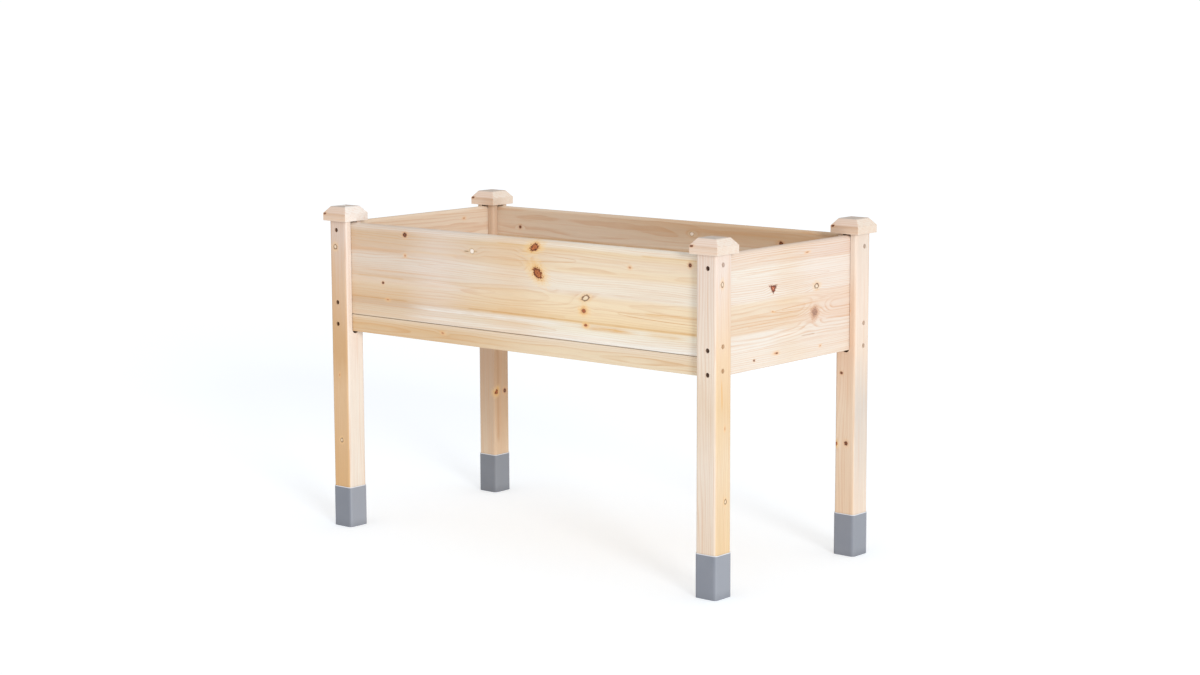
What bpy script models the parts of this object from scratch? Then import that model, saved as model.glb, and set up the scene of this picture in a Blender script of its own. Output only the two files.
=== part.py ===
"""Raised wooden planter on four legs, modelled piece by piece.

Metres, +Z up. X runs along the length, -Y is the front, and the origin is on the
ground at the middle of the footprint.
"""
import math

import bmesh
import bpy
from mathutils import Matrix, Vector

# ---------------------------------------------------------------- driving dimensions
OVERALL_LENGTH = 1.160        # along X, over the post caps
OVERALL_WIDTH = 0.580         # along Y, over the post caps
OVERALL_HEIGHT = 0.760        # ground to the top of the caps

POST_SIDE = 0.054
POST_ROUND = 0.007            # radius of the posts' four long corners

CAP_SIDE = 0.074
CAP_HEIGHT = 0.0335
CAP_BAND = 0.0175             # the upright part of a cap, below its slopes
CAP_SLOPE_RUN = 0.013         # how far each slope leans in

FOOT_HEIGHT = 0.096
FOOT_WALL = 0.0012

PANEL_THICK = 0.019
PANEL_TOP = 0.7235
PANEL_ROUND = 0.008           # radius of the panels' top edges
EASED_EDGE = 0.002            # radius of every other long edge of a board
RAIL_THICK = 0.018
RAIL_TOP = 0.508
BOX_BOTTOM = 0.468            # underside of the rails and the end panels

GROOVE_WIDTH = 0.021
GROOVE_DEPTH = 0.013

CLEAT_WIDTH = 0.020
CLEAT_HEIGHT = 0.025
CLEAT_LIFT = 0.0015           # from the rail's underside up to the cleat
CLEAT_SCREW_PLACES = (-0.45, -0.15, 0.15, 0.45)

SLAT_COUNT = 10
SLAT_WIDTH = 0.100
SLAT_THICK = 0.012
SLAT_SIDE_ROOM = 0.0015       # from a slat's end to the long panel
SLAT_END_ROOM = 0.001         # from the outermost slats to the end panels
SLAT_NOTCH_ROOM = 0.0015      # from the outermost slats to the posts

# The screws through a post's two outer faces cross inside it, so one set sits higher.
LOW_SCREWS = (0.698, 0.527, 0.476)
HIGH_SCREWS = (0.705, 0.535, 0.484)
SCREW_OFFSET = 0.004          # from a post's middle towards its outer corner
SCREW_LENGTH = 0.060
SCREW_RADIUS = 0.0020
SCREW_HEAD_RADIUS = 0.0042
SCREW_HEAD_HEIGHT = 0.0026
SCREW_POINT = 0.006
COUNTERBORE_RADIUS = 0.0050
COUNTERBORE_DEPTH = 0.0090

CLEAT_HOLE_RADIUS = 0.0019    # holes for the small screws that hold the cleats
CLEAT_PILOT_DEPTH = 0.0105
COUNTERSINK_RADIUS = 0.0038

DOWEL_RADIUS = 0.004
DOWEL_LENGTH = 0.024
DOWEL_CHAMFER = 0.001

GAP = 0.0003                  # between pieces that touch
SHADOW_GAP = 0.0012           # the open line between a long panel and its rail
END_ROOM = 0.001              # from a board's end to the bottom of its groove
ROUND_STEPS = 12              # sides of a turned piece
BEVEL_STEPS = 3
CUT_MARGIN = 0.002            # how far a cutter runs past the surface it opens
MERGE = 0.00001

# ---------------------------------------------------------------- worked-out dimensions
POST_X = (OVERALL_LENGTH - CAP_SIDE) / 2
POST_Y = (OVERALL_WIDTH - CAP_SIDE) / 2
HALF_POST = POST_SIDE / 2
POST_BOTTOM = FOOT_WALL + GAP
CAP_BOTTOM = OVERALL_HEIGHT - CAP_HEIGHT
POST_TOP = CAP_BOTTOM - GAP
FOOT_SIDE = POST_SIDE + 2 * (GAP + FOOT_WALL)
FOOT_ROUND = POST_ROUND + GAP + FOOT_WALL
LONG_LENGTH = 2 * (POST_X - HALF_POST + GROOVE_DEPTH - END_ROOM)
END_LENGTH = 2 * (POST_Y - HALF_POST + GROOVE_DEPTH - END_ROOM)
PANEL_BOTTOM = RAIL_TOP + SHADOW_GAP
HOLE_RADIUS = SCREW_RADIUS + GAP
SCREW_HEAD_SINK = COUNTERBORE_DEPTH - SCREW_HEAD_HEIGHT - GAP
CLEAT_Y = POST_Y - RAIL_THICK / 2 - GAP - CLEAT_WIDTH / 2
CLEAT_LENGTH = 2 * (POST_X - HALF_POST - SLAT_NOTCH_ROOM)
CLEAT_BOTTOM = BOX_BOTTOM + CLEAT_LIFT
SLAT_BOTTOM = CLEAT_BOTTOM + CLEAT_HEIGHT + GAP
SLAT_LENGTH = 2 * (POST_Y - PANEL_THICK / 2 - SLAT_SIDE_ROOM)
FLOOR_LENGTH = 2 * (POST_X - PANEL_THICK / 2 - SLAT_END_ROOM)
SLAT_PITCH = (FLOOR_LENGTH - SLAT_WIDTH) / (SLAT_COUNT - 1)

# The square board ends stand on the groove's round end where it is as wide as they are.
GROOVE_ARC_LIFT = math.sqrt((GROOVE_WIDTH / 2) ** 2 - (PANEL_THICK / 2) ** 2)
GROOVE_ARC_CENTRE = BOX_BOTTOM + GROOVE_ARC_LIFT - GAP

# Each post is the front right one turned: name, X side, Y side, quarter turns.
CORNERS = (
    ("front_right", 1, -1, 0),
    ("rear_right", 1, 1, 1),
    ("rear_left", -1, 1, 2),
    ("front_left", -1, -1, 3),
)

# Colour (linear), roughness and metallic value of each finish.
FINISHES = {
    "post_wood": ((0.76, 0.58, 0.40), 0.62, 0.0),
    "cap_wood": ((0.80, 0.64, 0.46), 0.60, 0.0),
    "panel_wood": ((0.72, 0.52, 0.32), 0.62, 0.0),
    "floor_wood": ((0.66, 0.48, 0.30), 0.70, 0.0),
    "foot_plastic": ((0.30, 0.31, 0.34), 0.50, 0.0),
    "zinc_steel": ((0.62, 0.60, 0.55), 0.35, 1.0),
    "dowel_wood": ((0.70, 0.52, 0.33), 0.65, 0.0),
}


# ---------------------------------------------------------------- scene and materials
def clear_scene():
    for item in list(bpy.context.scene.objects):
        bpy.data.objects.remove(item, do_unlink=True)


def new_collection(name):
    group = bpy.data.collections.new(name)
    bpy.context.scene.collection.children.link(group)
    return group


def paint(item, finish):
    """Give an object a Principled material of its own in one of the finishes."""
    colour, roughness, metallic = FINISHES[finish]
    material = bpy.data.materials.new(item.name + "_finish")
    material.use_nodes = True
    shader = material.node_tree.nodes["Principled BSDF"]
    shader.inputs["Base Color"].default_value = (*colour, 1.0)
    shader.inputs["Roughness"].default_value = roughness
    shader.inputs["Metallic"].default_value = metallic
    if not item.data.materials:
        item.data.materials.append(None)
    item.material_slots[0].link = "OBJECT"
    item.material_slots[0].material = material


def spot(x, y, z=0.0, quarter_turns=0):
    """A place in the planter, turned about the upright axis."""
    return Matrix.Translation((x, y, z)) @ Matrix.Rotation(quarter_turns * math.pi / 2, 4, "Z")


def place(name, mesh, finish, placement):
    """Put a mesh into the planter as a named piece."""
    item = bpy.data.objects.new(name, mesh)
    parts.objects.link(item)
    item.parent = planter
    item.matrix_basis = placement
    paint(item, finish)


# ---------------------------------------------------------------- modelling helpers
def working_object(name, mesh):
    item = bpy.data.objects.new(name, mesh)
    cutters.objects.link(item)
    item.hide_render = True
    item.display_type = "WIRE"
    return item


def finished_mesh(item, name):
    """The mesh an object has after its modifiers, with the object itself removed."""
    bpy.context.view_layer.update()
    evaluated = item.evaluated_get(bpy.context.evaluated_depsgraph_get())
    mesh = bpy.data.meshes.new_from_object(evaluated)
    mesh.name = name
    mesh.transform(item.matrix_world)
    bpy.data.objects.remove(item, do_unlink=True)
    return mesh


def weld(mesh):
    form = bmesh.new()
    form.from_mesh(mesh)
    bmesh.ops.remove_doubles(form, verts=form.verts, dist=MERGE)
    bmesh.ops.recalc_face_normals(form, faces=form.faces)
    form.to_mesh(mesh)
    form.free()
    return mesh


def box_form(size, centre):
    form = bmesh.new()
    placed = Matrix.Translation(centre) @ Matrix.Diagonal((*size, 1.0))
    bmesh.ops.create_cube(form, size=1.0, matrix=placed)
    return form


def form_mesh(form, name):
    mesh = bpy.data.meshes.new(name)
    form.to_mesh(mesh)
    form.free()
    return mesh


def weigh_edges(form, weight_of):
    """Mark how round each edge becomes; weight_of takes the edge's ends."""
    layer = form.edges.layers.float.new("bevel_weight_edge")
    for edge in form.edges:
        edge[layer] = weight_of(edge.verts[0].co, edge.verts[1].co)


def round_edges(item, radius, steps=BEVEL_STEPS):
    bevel = item.modifiers.new("rounded_edges", "BEVEL")
    bevel.limit_method = "WEIGHT"
    bevel.width = radius
    bevel.segments = steps
    bevel.use_clamp_overlap = False


def cut(item, cutter):
    difference = item.modifiers.new("cut_" + cutter.name, "BOOLEAN")
    difference.operation = "DIFFERENCE"
    difference.object = cutter


def turned_mesh(name, outline, steps=ROUND_STEPS):
    """Turn an outline of (radius, height) points, from the top down, about Z."""
    form = bmesh.new()
    points = [form.verts.new((radius, 0, height)) for radius, height in outline]
    for upper, lower in zip(points, points[1:]):
        form.edges.new((upper, lower))
    item = working_object(name, form_mesh(form, name))
    spin = item.modifiers.new("turning", "SCREW")
    spin.steps = steps
    spin.render_steps = steps
    spin.use_merge_vertices = True
    spin.merge_threshold = MERGE
    return weld(finished_mesh(item, name))


def flat_mesh(name, outline, thickness):
    """A flat closed outline of (x, y) points, made solid along Z."""
    curve = bpy.data.curves.new(name, "CURVE")
    curve.dimensions = "2D"
    curve.fill_mode = "BOTH"
    curve.extrude = thickness / 2
    spline = curve.splines.new("POLY")
    spline.points.add(len(outline) - 1)
    for point, (across, along) in zip(spline.points, outline):
        point.co = (across, along, 0, 1)
    spline.use_cyclic_u = True
    return weld(finished_mesh(working_object(name, curve), name))


def pointing(axis):
    """The turn that takes +Z to the given axis."""
    return Vector((0, 0, 1)).rotation_difference(Vector(axis)).to_matrix().to_4x4()


# ---------------------------------------------------------------- cutters
def groove_cutter(name):
    """A stopped groove with a round lower end, seen along +Z with +Y upwards."""
    half = GROOVE_WIDTH / 2
    arc_steps = 10
    outline = [(half, POST_TOP + CUT_MARGIN), (-half, POST_TOP + CUT_MARGIN)]
    for step in range(arc_steps + 1):
        angle = math.pi + math.pi * step / arc_steps
        outline.append((half * math.cos(angle), GROOVE_ARC_CENTRE + half * math.sin(angle)))
    mesh = flat_mesh(name, outline, GROOVE_DEPTH + CUT_MARGIN)
    mesh.transform(Matrix.Rotation(math.pi / 2, 4, "X"))
    return mesh


def screw_hole_cutter(name):
    """Counterbore and clearance hole for a post screw; the outer face is at z = 0."""
    outline = [
        (0, CUT_MARGIN),
        (COUNTERBORE_RADIUS, CUT_MARGIN),
        (COUNTERBORE_RADIUS, -COUNTERBORE_DEPTH),
        (HOLE_RADIUS, -COUNTERBORE_DEPTH),
        (HOLE_RADIUS, -POST_SIDE + GROOVE_DEPTH - CUT_MARGIN),
        (0, -POST_SIDE + GROOVE_DEPTH - CUT_MARGIN),
    ]
    return turned_mesh(name, outline)


def blind_hole_cutter(name, radius, depth):
    """A plain hole, its mouth at z = 0."""
    outline = [(0, CUT_MARGIN), (radius, CUT_MARGIN), (radius, -depth), (0, -depth)]
    return turned_mesh(name, outline)


def cut_with(item, mesh, placements):
    """Cut one copy of the cutter at each placement, and remember them for removal."""
    used = []
    for number, placement in enumerate(placements):
        cutter = working_object(f"{mesh.name}_{number}", mesh.copy())
        cutter.data.transform(placement)
        cut(item, cutter)
        used.append(cutter)
    return used


def remove_all(items):
    for item in items:
        bpy.data.objects.remove(item, do_unlink=True)


# ---------------------------------------------------------------- posts, caps and feet
def post_mesh():
    """The front right post: screws enter its -Y and +X faces, boards its other two."""
    height = POST_TOP - POST_BOTTOM
    form = box_form((POST_SIDE, POST_SIDE, height), (0, 0, POST_BOTTOM + height / 2))
    weigh_edges(form, lambda a, b: 1.0 if abs(a.z - b.z) > MERGE else 0.0)
    post = working_object("post_blank", form_mesh(form, "post_blank"))
    round_edges(post, POST_ROUND)

    inward = HALF_POST - (GROOVE_DEPTH - CUT_MARGIN) / 2
    rear_groove = Matrix.Translation((0, inward, 0))
    left_groove = Matrix.Rotation(math.pi / 2, 4, "Z") @ rear_groove
    used = cut_with(post, groove_cutter("groove_cutter"), (rear_groove, left_groove))

    used += cut_with(post, screw_hole_cutter("screw_hole_cutter"), post_screw_places(HALF_POST))

    socket = blind_hole_cutter("dowel_socket_cutter", DOWEL_RADIUS + GAP, DOWEL_LENGTH / 2 + GAP)
    used += cut_with(post, socket, [Matrix.Translation((0, 0, POST_TOP))])
    mesh = finished_mesh(post, "post")
    remove_all(used)
    return mesh


def cap_mesh():
    """A square block whose upper part slopes in on all four sides to a flat top."""
    form = box_form((CAP_SIDE, CAP_SIDE, CAP_HEIGHT), (0, 0, CAP_HEIGHT / 2))
    bmesh.ops.bisect_plane(
        form,
        geom=form.verts[:] + form.edges[:] + form.faces[:],
        plane_co=(0, 0, CAP_BAND),
        plane_no=(0, 0, 1),
    )
    shrink = 1 - 2 * CAP_SLOPE_RUN / CAP_SIDE
    for vertex in form.verts:
        if vertex.co.z > CAP_HEIGHT - MERGE:
            vertex.co.x *= shrink
            vertex.co.y *= shrink
    cap = working_object("cap_blank", form_mesh(form, "cap_blank"))
    socket = blind_hole_cutter("cap_socket_cutter", DOWEL_RADIUS + GAP, DOWEL_LENGTH / 2 + GAP)
    used = cut_with(cap, socket, [pointing((0, 0, -1))])
    mesh = finished_mesh(cap, "post_cap")
    remove_all(used)
    return mesh


def foot_mesh():
    """A thin open-topped sleeve with a closed floor."""
    form = box_form((FOOT_SIDE, FOOT_SIDE, FOOT_HEIGHT), (0, 0, FOOT_HEIGHT / 2))
    top = [face for face in form.faces if face.normal.z > 0.5]
    bmesh.ops.delete(form, geom=top, context="FACES_ONLY")
    weigh_edges(form, lambda a, b: 1.0 if abs(a.z - b.z) > MERGE else 0.0)
    foot = working_object("foot_blank", form_mesh(form, "foot_blank"))
    round_edges(foot, FOOT_ROUND)
    wall = foot.modifiers.new("wall", "SOLIDIFY")
    wall.thickness = FOOT_WALL
    wall.offset = -1.0
    wall.use_even_offset = True
    return finished_mesh(foot, "foot_cover")


def dowel_mesh():
    half = DOWEL_LENGTH / 2 - GAP
    outline = [
        (0, half),
        (DOWEL_RADIUS - DOWEL_CHAMFER, half),
        (DOWEL_RADIUS, half - DOWEL_CHAMFER),
        (DOWEL_RADIUS, -half + DOWEL_CHAMFER),
        (DOWEL_RADIUS - DOWEL_CHAMFER, -half),
        (0, -half),
    ]
    return turned_mesh("cap_dowel", outline)


# ---------------------------------------------------------------- boards
def board_blank(name, length, thickness, bottom, top, top_radius):
    """A board along X, centred on the origin in plan, with its long edges rounded."""
    form = box_form((length, thickness, top - bottom), (0, 0, (top + bottom) / 2))

    def weight(start, end):
        if abs(start.x - end.x) < MERGE:
            return 0.0
        return 1.0 if start.z > (top + bottom) / 2 else EASED_EDGE / top_radius

    weigh_edges(form, weight)
    board = working_object(name, form_mesh(form, name))
    round_edges(board, top_radius)
    return board


def end_holes(length, left_heights, right_heights):
    """Placements of the pilot holes in a board's two ends, a little nearer its outer face."""
    y = -SCREW_OFFSET
    left = [Matrix.Translation((-length / 2, y, z)) @ pointing((-1, 0, 0)) for z in left_heights]
    right = [Matrix.Translation((length / 2, y, z)) @ pointing((1, 0, 0)) for z in right_heights]
    return left + right


def pilot_depth():
    """How far a post screw reaches into a board's end."""
    through_post = POST_SIDE - GROOVE_DEPTH + END_ROOM - SCREW_HEAD_SINK
    return SCREW_LENGTH - through_post + GAP


def drilled_board(blank, name, length, left_heights, right_heights):
    pilot = blind_hole_cutter("pilot_cutter", HOLE_RADIUS, pilot_depth())
    used = cut_with(blank, pilot, end_holes(length, left_heights, right_heights))
    mesh = finished_mesh(blank, name)
    remove_all(used)
    return mesh


def long_panel_mesh():
    blank = board_blank(
        "long_panel_blank", LONG_LENGTH, PANEL_THICK, PANEL_BOTTOM, PANEL_TOP, PANEL_ROUND)
    return drilled_board(blank, "long_panel", LONG_LENGTH, LOW_SCREWS[:2], HIGH_SCREWS[:2])


def end_panel_mesh():
    """Its +X end meets the rear post once it is turned by a quarter."""
    blank = board_blank(
        "end_panel_blank", END_LENGTH, PANEL_THICK, BOX_BOTTOM, PANEL_TOP, PANEL_ROUND)
    return drilled_board(blank, "end_panel", END_LENGTH, LOW_SCREWS, HIGH_SCREWS)


def rail_mesh():
    """The board under a long panel; the cleat is screwed to its +Y face."""
    blank = board_blank("rail_blank", LONG_LENGTH, RAIL_THICK, BOX_BOTTOM, RAIL_TOP, EASED_EDGE)
    pilot = blind_hole_cutter("cleat_pilot_cutter", CLEAT_HOLE_RADIUS, CLEAT_PILOT_DEPTH)
    height = CLEAT_BOTTOM + CLEAT_HEIGHT / 2
    mouths = [
        Matrix.Translation((x, RAIL_THICK / 2, height)) @ pointing((0, 1, 0))
        for x in CLEAT_SCREW_PLACES
    ]
    used = cut_with(blank, pilot, mouths)
    mesh = drilled_board(blank, "bottom_rail", LONG_LENGTH, LOW_SCREWS[2:], HIGH_SCREWS[2:])
    remove_all(used)
    return mesh


def cleat_mesh():
    """The batten that carries the slats, with countersunk holes from its +Y face."""
    top = CLEAT_BOTTOM + CLEAT_HEIGHT
    cleat = board_blank("cleat_blank", CLEAT_LENGTH, CLEAT_WIDTH, CLEAT_BOTTOM, top, EASED_EDGE)
    outline = [
        (0, CUT_MARGIN),
        (COUNTERSINK_RADIUS, CUT_MARGIN),
        (COUNTERSINK_RADIUS, 0),
        (CLEAT_HOLE_RADIUS, CLEAT_HOLE_RADIUS - COUNTERSINK_RADIUS),
        (CLEAT_HOLE_RADIUS, -CLEAT_WIDTH - CUT_MARGIN),
        (0, -CLEAT_WIDTH - CUT_MARGIN),
    ]
    hole = turned_mesh("cleat_hole_cutter", outline)
    mouths = [
        Matrix.Translation((x, CLEAT_WIDTH / 2, CLEAT_BOTTOM + CLEAT_HEIGHT / 2))
        @ pointing((0, 1, 0))
        for x in CLEAT_SCREW_PLACES
    ]
    used = cut_with(cleat, hole, mouths)
    mesh = finished_mesh(cleat, "floor_cleat")
    remove_all(used)
    return mesh


def slat_mesh(notched):
    """A floor slat along Y; the outermost ones are notched around the posts."""
    form = box_form((SLAT_WIDTH, SLAT_LENGTH, SLAT_THICK), (0, 0, SLAT_BOTTOM + SLAT_THICK / 2))
    weigh_edges(form, lambda a, b: 1.0 if abs(a.y - b.y) > MERGE else 0.0)
    slat = working_object("slat_blank", form_mesh(form, "slat_blank"))
    round_edges(slat, EASED_EDGE / 2, steps=1)
    used = []
    if notched:
        outer_edge = FLOOR_LENGTH / 2
        notch_run = outer_edge - (POST_X - HALF_POST - SLAT_NOTCH_ROOM)
        notch_inner_y = POST_Y - HALF_POST - SLAT_NOTCH_ROOM
        size = (notch_run + CUT_MARGIN, SLAT_LENGTH / 2, SLAT_THICK + 2 * CUT_MARGIN)
        centre_x = SLAT_WIDTH / 2 - notch_run + size[0] / 2
        for number, side in enumerate((-1, 1)):
            centre = (centre_x, side * (notch_inner_y + size[1] / 2), SLAT_BOTTOM + SLAT_THICK / 2)
            block = form_mesh(box_form(size, centre), f"notch_cutter_{number}")
            cutter = working_object(block.name, block)
            cut(slat, cutter)
            used.append(cutter)
    mesh = finished_mesh(slat, "end_slat" if notched else "slat")
    remove_all(used)
    return mesh


# ---------------------------------------------------------------- screws
def post_screw_mesh():
    """A pan-headed wood screw along Z, the top of its head at z = 0."""
    outline = [
        (0, 0),
        (SCREW_HEAD_RADIUS * 0.7, 0),
        (SCREW_HEAD_RADIUS, -SCREW_HEAD_HEIGHT * 0.35),
        (SCREW_HEAD_RADIUS, -SCREW_HEAD_HEIGHT),
        (SCREW_RADIUS, -SCREW_HEAD_HEIGHT),
        (SCREW_RADIUS, -SCREW_LENGTH + SCREW_POINT),
        (0, -SCREW_LENGTH),
    ]
    return turned_mesh("post_screw", outline)


def post_screw_places(reach):
    """The six screws of the front right post: three through -Y, three through +X."""
    step = SCREW_OFFSET
    front = [Matrix.Translation((step, -reach, z)) @ pointing((0, -1, 0)) for z in LOW_SCREWS]
    right = [Matrix.Translation((reach, -step, z)) @ pointing((1, 0, 0)) for z in HIGH_SCREWS]
    return front + right


# ---------------------------------------------------------------- assembly
def build_posts():
    post = post_mesh()
    cap = cap_mesh()
    foot = foot_mesh()
    dowel = dowel_mesh()
    for name, x_side, y_side, turns in CORNERS:
        x, y = x_side * POST_X, y_side * POST_Y
        place("post_" + name, post, "post_wood", spot(x, y, quarter_turns=turns))
        place("post_cap_" + name, cap, "cap_wood", spot(x, y, CAP_BOTTOM))
        place("foot_cover_" + name, foot, "foot_plastic", spot(x, y))
        place("cap_dowel_" + name, dowel, "dowel_wood", spot(x, y, (POST_TOP + CAP_BOTTOM) / 2))


def build_post_screws():
    """Through each post, three screws into the end panel and three into the long side."""
    screw = post_screw_mesh()
    levels = ("top", "middle", "bottom")
    for name, x_side, y_side, turns in CORNERS:
        boards = ("end", "long") if turns % 2 == 0 else ("long", "end")
        labels = [f"{board}_{level}" for board in boards for level in levels]
        corner = spot(x_side * POST_X, y_side * POST_Y, quarter_turns=turns)
        for label, placement in zip(labels, post_screw_places(HALF_POST - SCREW_HEAD_SINK)):
            place(f"post_screw_{name}_{label}", screw, "zinc_steel", corner @ placement)


def build_box():
    """Each side is the opposite side turned by half a turn."""
    long_panel = long_panel_mesh()
    rail = rail_mesh()
    cleat = cleat_mesh()
    for name, side, turns in (("front", -1, 0), ("rear", 1, 2)):
        middle = spot(0, side * POST_Y, quarter_turns=turns)
        place(name + "_panel", long_panel, "panel_wood", middle)
        place(name + "_bottom_rail", rail, "panel_wood", middle)
        place(name + "_floor_cleat", cleat, "floor_wood", spot(0, side * CLEAT_Y, 0, turns))
    end_panel = end_panel_mesh()
    for name, side, turns in (("right", 1, 1), ("left", -1, 3)):
        place(name + "_end_panel", end_panel, "panel_wood", spot(side * POST_X, 0, 0, turns))


def build_floor():
    plain = slat_mesh(notched=False)
    notched = slat_mesh(notched=True)
    for number in range(SLAT_COUNT):
        x = -FLOOR_LENGTH / 2 + SLAT_WIDTH / 2 + number * SLAT_PITCH
        first, last = number == 0, number == SLAT_COUNT - 1
        mesh = notched if first or last else plain
        turns = 2 if first else 0
        place(f"floor_slat_{number + 1:02d}", mesh, "floor_wood", spot(x, 0, 0, turns))


clear_scene()
parts = new_collection("raised_planter")
cutters = new_collection("cutters")
planter = bpy.data.objects.new("planter_origin", None)
parts.objects.link(planter)
build_posts()
build_post_screws()
build_box()
build_floor()
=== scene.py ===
# %% [markdown]
# # A raised planter on legs
# The real thing is a long wooden trough held between four square legs. Each leg wears a chamfered
# cap on top and a grey plastic cover round its foot. The wood is a knotty softwood, planed and left
# bare, and is made here as fir. Everything is built round the measured frame, in metres, with the
# ground at z = 0, the length along X and the front facing -Y. The places and outer sizes of the
# boards, legs, caps and covers are read off the frame's own boxes. Roundings, grooves, holes and
# screw sizes are given here.

# %% Load the measured frame
import math

import bmesh
import bpy
from mathutils import Matrix, Quaternion, Vector


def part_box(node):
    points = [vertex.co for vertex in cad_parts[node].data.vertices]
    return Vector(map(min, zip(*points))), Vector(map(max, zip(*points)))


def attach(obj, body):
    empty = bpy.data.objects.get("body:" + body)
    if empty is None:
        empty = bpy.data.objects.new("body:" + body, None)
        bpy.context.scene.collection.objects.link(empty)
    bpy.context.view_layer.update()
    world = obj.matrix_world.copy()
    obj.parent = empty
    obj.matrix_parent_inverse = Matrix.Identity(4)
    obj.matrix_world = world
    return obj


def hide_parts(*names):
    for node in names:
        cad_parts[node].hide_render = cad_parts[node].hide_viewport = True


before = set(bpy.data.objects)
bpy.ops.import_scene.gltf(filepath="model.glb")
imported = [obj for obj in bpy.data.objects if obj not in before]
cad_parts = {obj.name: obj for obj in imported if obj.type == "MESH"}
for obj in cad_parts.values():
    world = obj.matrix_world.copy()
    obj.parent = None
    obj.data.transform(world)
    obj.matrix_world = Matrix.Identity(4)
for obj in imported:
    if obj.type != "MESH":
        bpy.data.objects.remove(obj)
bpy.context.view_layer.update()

# %% [markdown]
# ## Where the main pieces are
# A square leg is known from one box: its middle and its side. The other three stand mirrored about
# the two centre lines, so two numbers place all four corners.

# %% Read the places off the frame
post_low, post_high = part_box("post_front_right")
post_middle = (post_low + post_high) / 2
post_side = post_high.x - post_low.x
CORNERS = {
    "front_left": Vector((-post_middle.x, post_middle.y, 0)),
    "front_right": Vector((post_middle.x, post_middle.y, 0)),
    "rear_right": Vector((post_middle.x, -post_middle.y, 0)),
    "rear_left": Vector((-post_middle.x, -post_middle.y, 0)),
}
MILLIMETRE = 0.001
print("posts", round(post_side * 1000, 1), "mm square at", {k: tuple(v) for k, v in CORNERS.items()})

# %% [markdown]
# ## The camera
# A product like this is shot from a little above with a long lens, so its uprights stay nearly
# parallel. The camera is placed by where it stands, the way it looks (a turn, a dip and a hair of
# roll) and its focal length. There is no shift and no depth of field, so other views can reuse it.

# %% Stand the camera
CAMERA_PLACE = Vector((3.6467, -4.2922, 1.3194))
CAMERA_TURN = math.radians(40.19)      # from straight ahead (+Y) towards the left
CAMERA_DIP = math.radians(8.573)
CAMERA_ROLL = math.radians(-0.204)
camera_data = bpy.data.cameras.new("studio_camera")
camera_data.lens = 74.585
camera_data.sensor_width = 36.0
camera_data.clip_start = 0.05
camera_data.clip_end = 400.0
camera = bpy.data.objects.new("studio_camera", camera_data)
level = math.cos(CAMERA_DIP)
look = Vector((-math.sin(CAMERA_TURN) * level, math.cos(CAMERA_TURN) * level, -math.sin(CAMERA_DIP)))
camera.rotation_mode = "QUATERNION"
camera.rotation_quaternion = look.to_track_quat("-Z", "Y") @ Quaternion((0, 0, 1), CAMERA_ROLL)
camera.location = CAMERA_PLACE
bpy.context.scene.collection.objects.link(camera)
bpy.context.scene.camera = camera
print("camera looks along", tuple(round(part, 4) for part in look))

# %% [markdown]
# ## Sums that write nodes
# A material or a Geometry Nodes tree is a drawing of sums. Wiring dozens of Math nodes by hand
# hides the idea, so a small class wraps an output socket and turns `2 * mask + 1` into nodes. Every
# other node comes from one method: its type, its settings, then the values or links it takes.

# %% A wire and a bench
class Wire:
    """The output of a node. Sums on it add Math nodes."""

    def __init__(self, bench, socket):
        self.bench = bench
        self.socket = socket

    def other(self, name):
        """Another output of the same node."""
        return Wire(self.bench, self.socket.node.outputs[name])

    def __add__(self, value):
        return self.bench.sum("ADD", self, value)

    def __sub__(self, value):
        return self.bench.sum("SUBTRACT", self, value)

    def __rsub__(self, value):
        return self.bench.sum("SUBTRACT", value, self)

    def __mul__(self, value):
        return self.bench.sum("MULTIPLY", self, value)

    def __truediv__(self, value):
        return self.bench.sum("DIVIDE", self, value)

    def __pow__(self, value):
        return self.bench.sum("POWER", self, value)

    __radd__ = __add__
    __rmul__ = __mul__


class Bench:
    """A node tree being built."""

    def __init__(self, tree):
        self.tree = tree
        tree.nodes.clear()

    def add(self, kind, settings=None, sockets=None, give=0):
        """A node of that type, set up, wired, and read at one of its outputs."""
        node = self.tree.nodes.new(kind)
        for name, value in (settings or {}).items():
            if name == "stops":
                set_stops(node.color_ramp, value)
            else:
                setattr(node, name, value)
        for key, value in (sockets or {}).items():
            socket = find_socket(node, key)
            for part in value if isinstance(value, list) else [value]:
                if isinstance(part, Wire):
                    self.tree.links.new(part.socket, socket)
                elif socket.type == "RGBA" and len(part) == 3:
                    socket.default_value = (*part, 1.0)
                else:
                    socket.default_value = part
        outputs = [socket for socket in node.outputs if socket.enabled]
        if not outputs:
            return node
        if isinstance(give, str):
            return Wire(self, next(socket for socket in outputs if socket.name == give))
        return Wire(self, outputs[give])

    def sum(self, operation, *values):
        return self.add("ShaderNodeMath", {"operation": operation}, dict(enumerate(values)))

    def joined(self, x, y, z):
        return self.add("ShaderNodeCombineXYZ", sockets={0: x, 1: y, 2: z})

    def between(self, value, low, high, start=0.0, end=1.0):
        """A smooth step: start where value is low, end where it is high."""
        return self.add(
            "ShaderNodeMapRange",
            {"interpolation_type": "SMOOTHSTEP"},
            {"Value": value, "From Min": low, "From Max": high, "To Min": start, "To Max": end},
        )

    def mixed(self, share, first, second, how="MIX"):
        """Two colours mixed."""
        return self.add(
            "ShaderNodeMix",
            {"data_type": "RGBA", "blend_type": how},
            {"Factor": share, "A": first, "B": second},
        )


def find_socket(node, key):
    if isinstance(key, int):
        return node.inputs[key]
    return next(socket for socket in node.inputs if socket.enabled and socket.name == key)


def set_stops(ramp, stops):
    """Stops are (position, colour); a ramp starts with two and the others are added."""
    while len(ramp.elements) > 1:
        ramp.elements.remove(ramp.elements[-1])
    for number, (position, colour) in enumerate(stops):
        element = ramp.elements[0] if number == 0 else ramp.elements.new(position)
        element.position = position
        element.color = (*colour[:3], colour[3] if len(colour) > 3 else 1.0)


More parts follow.
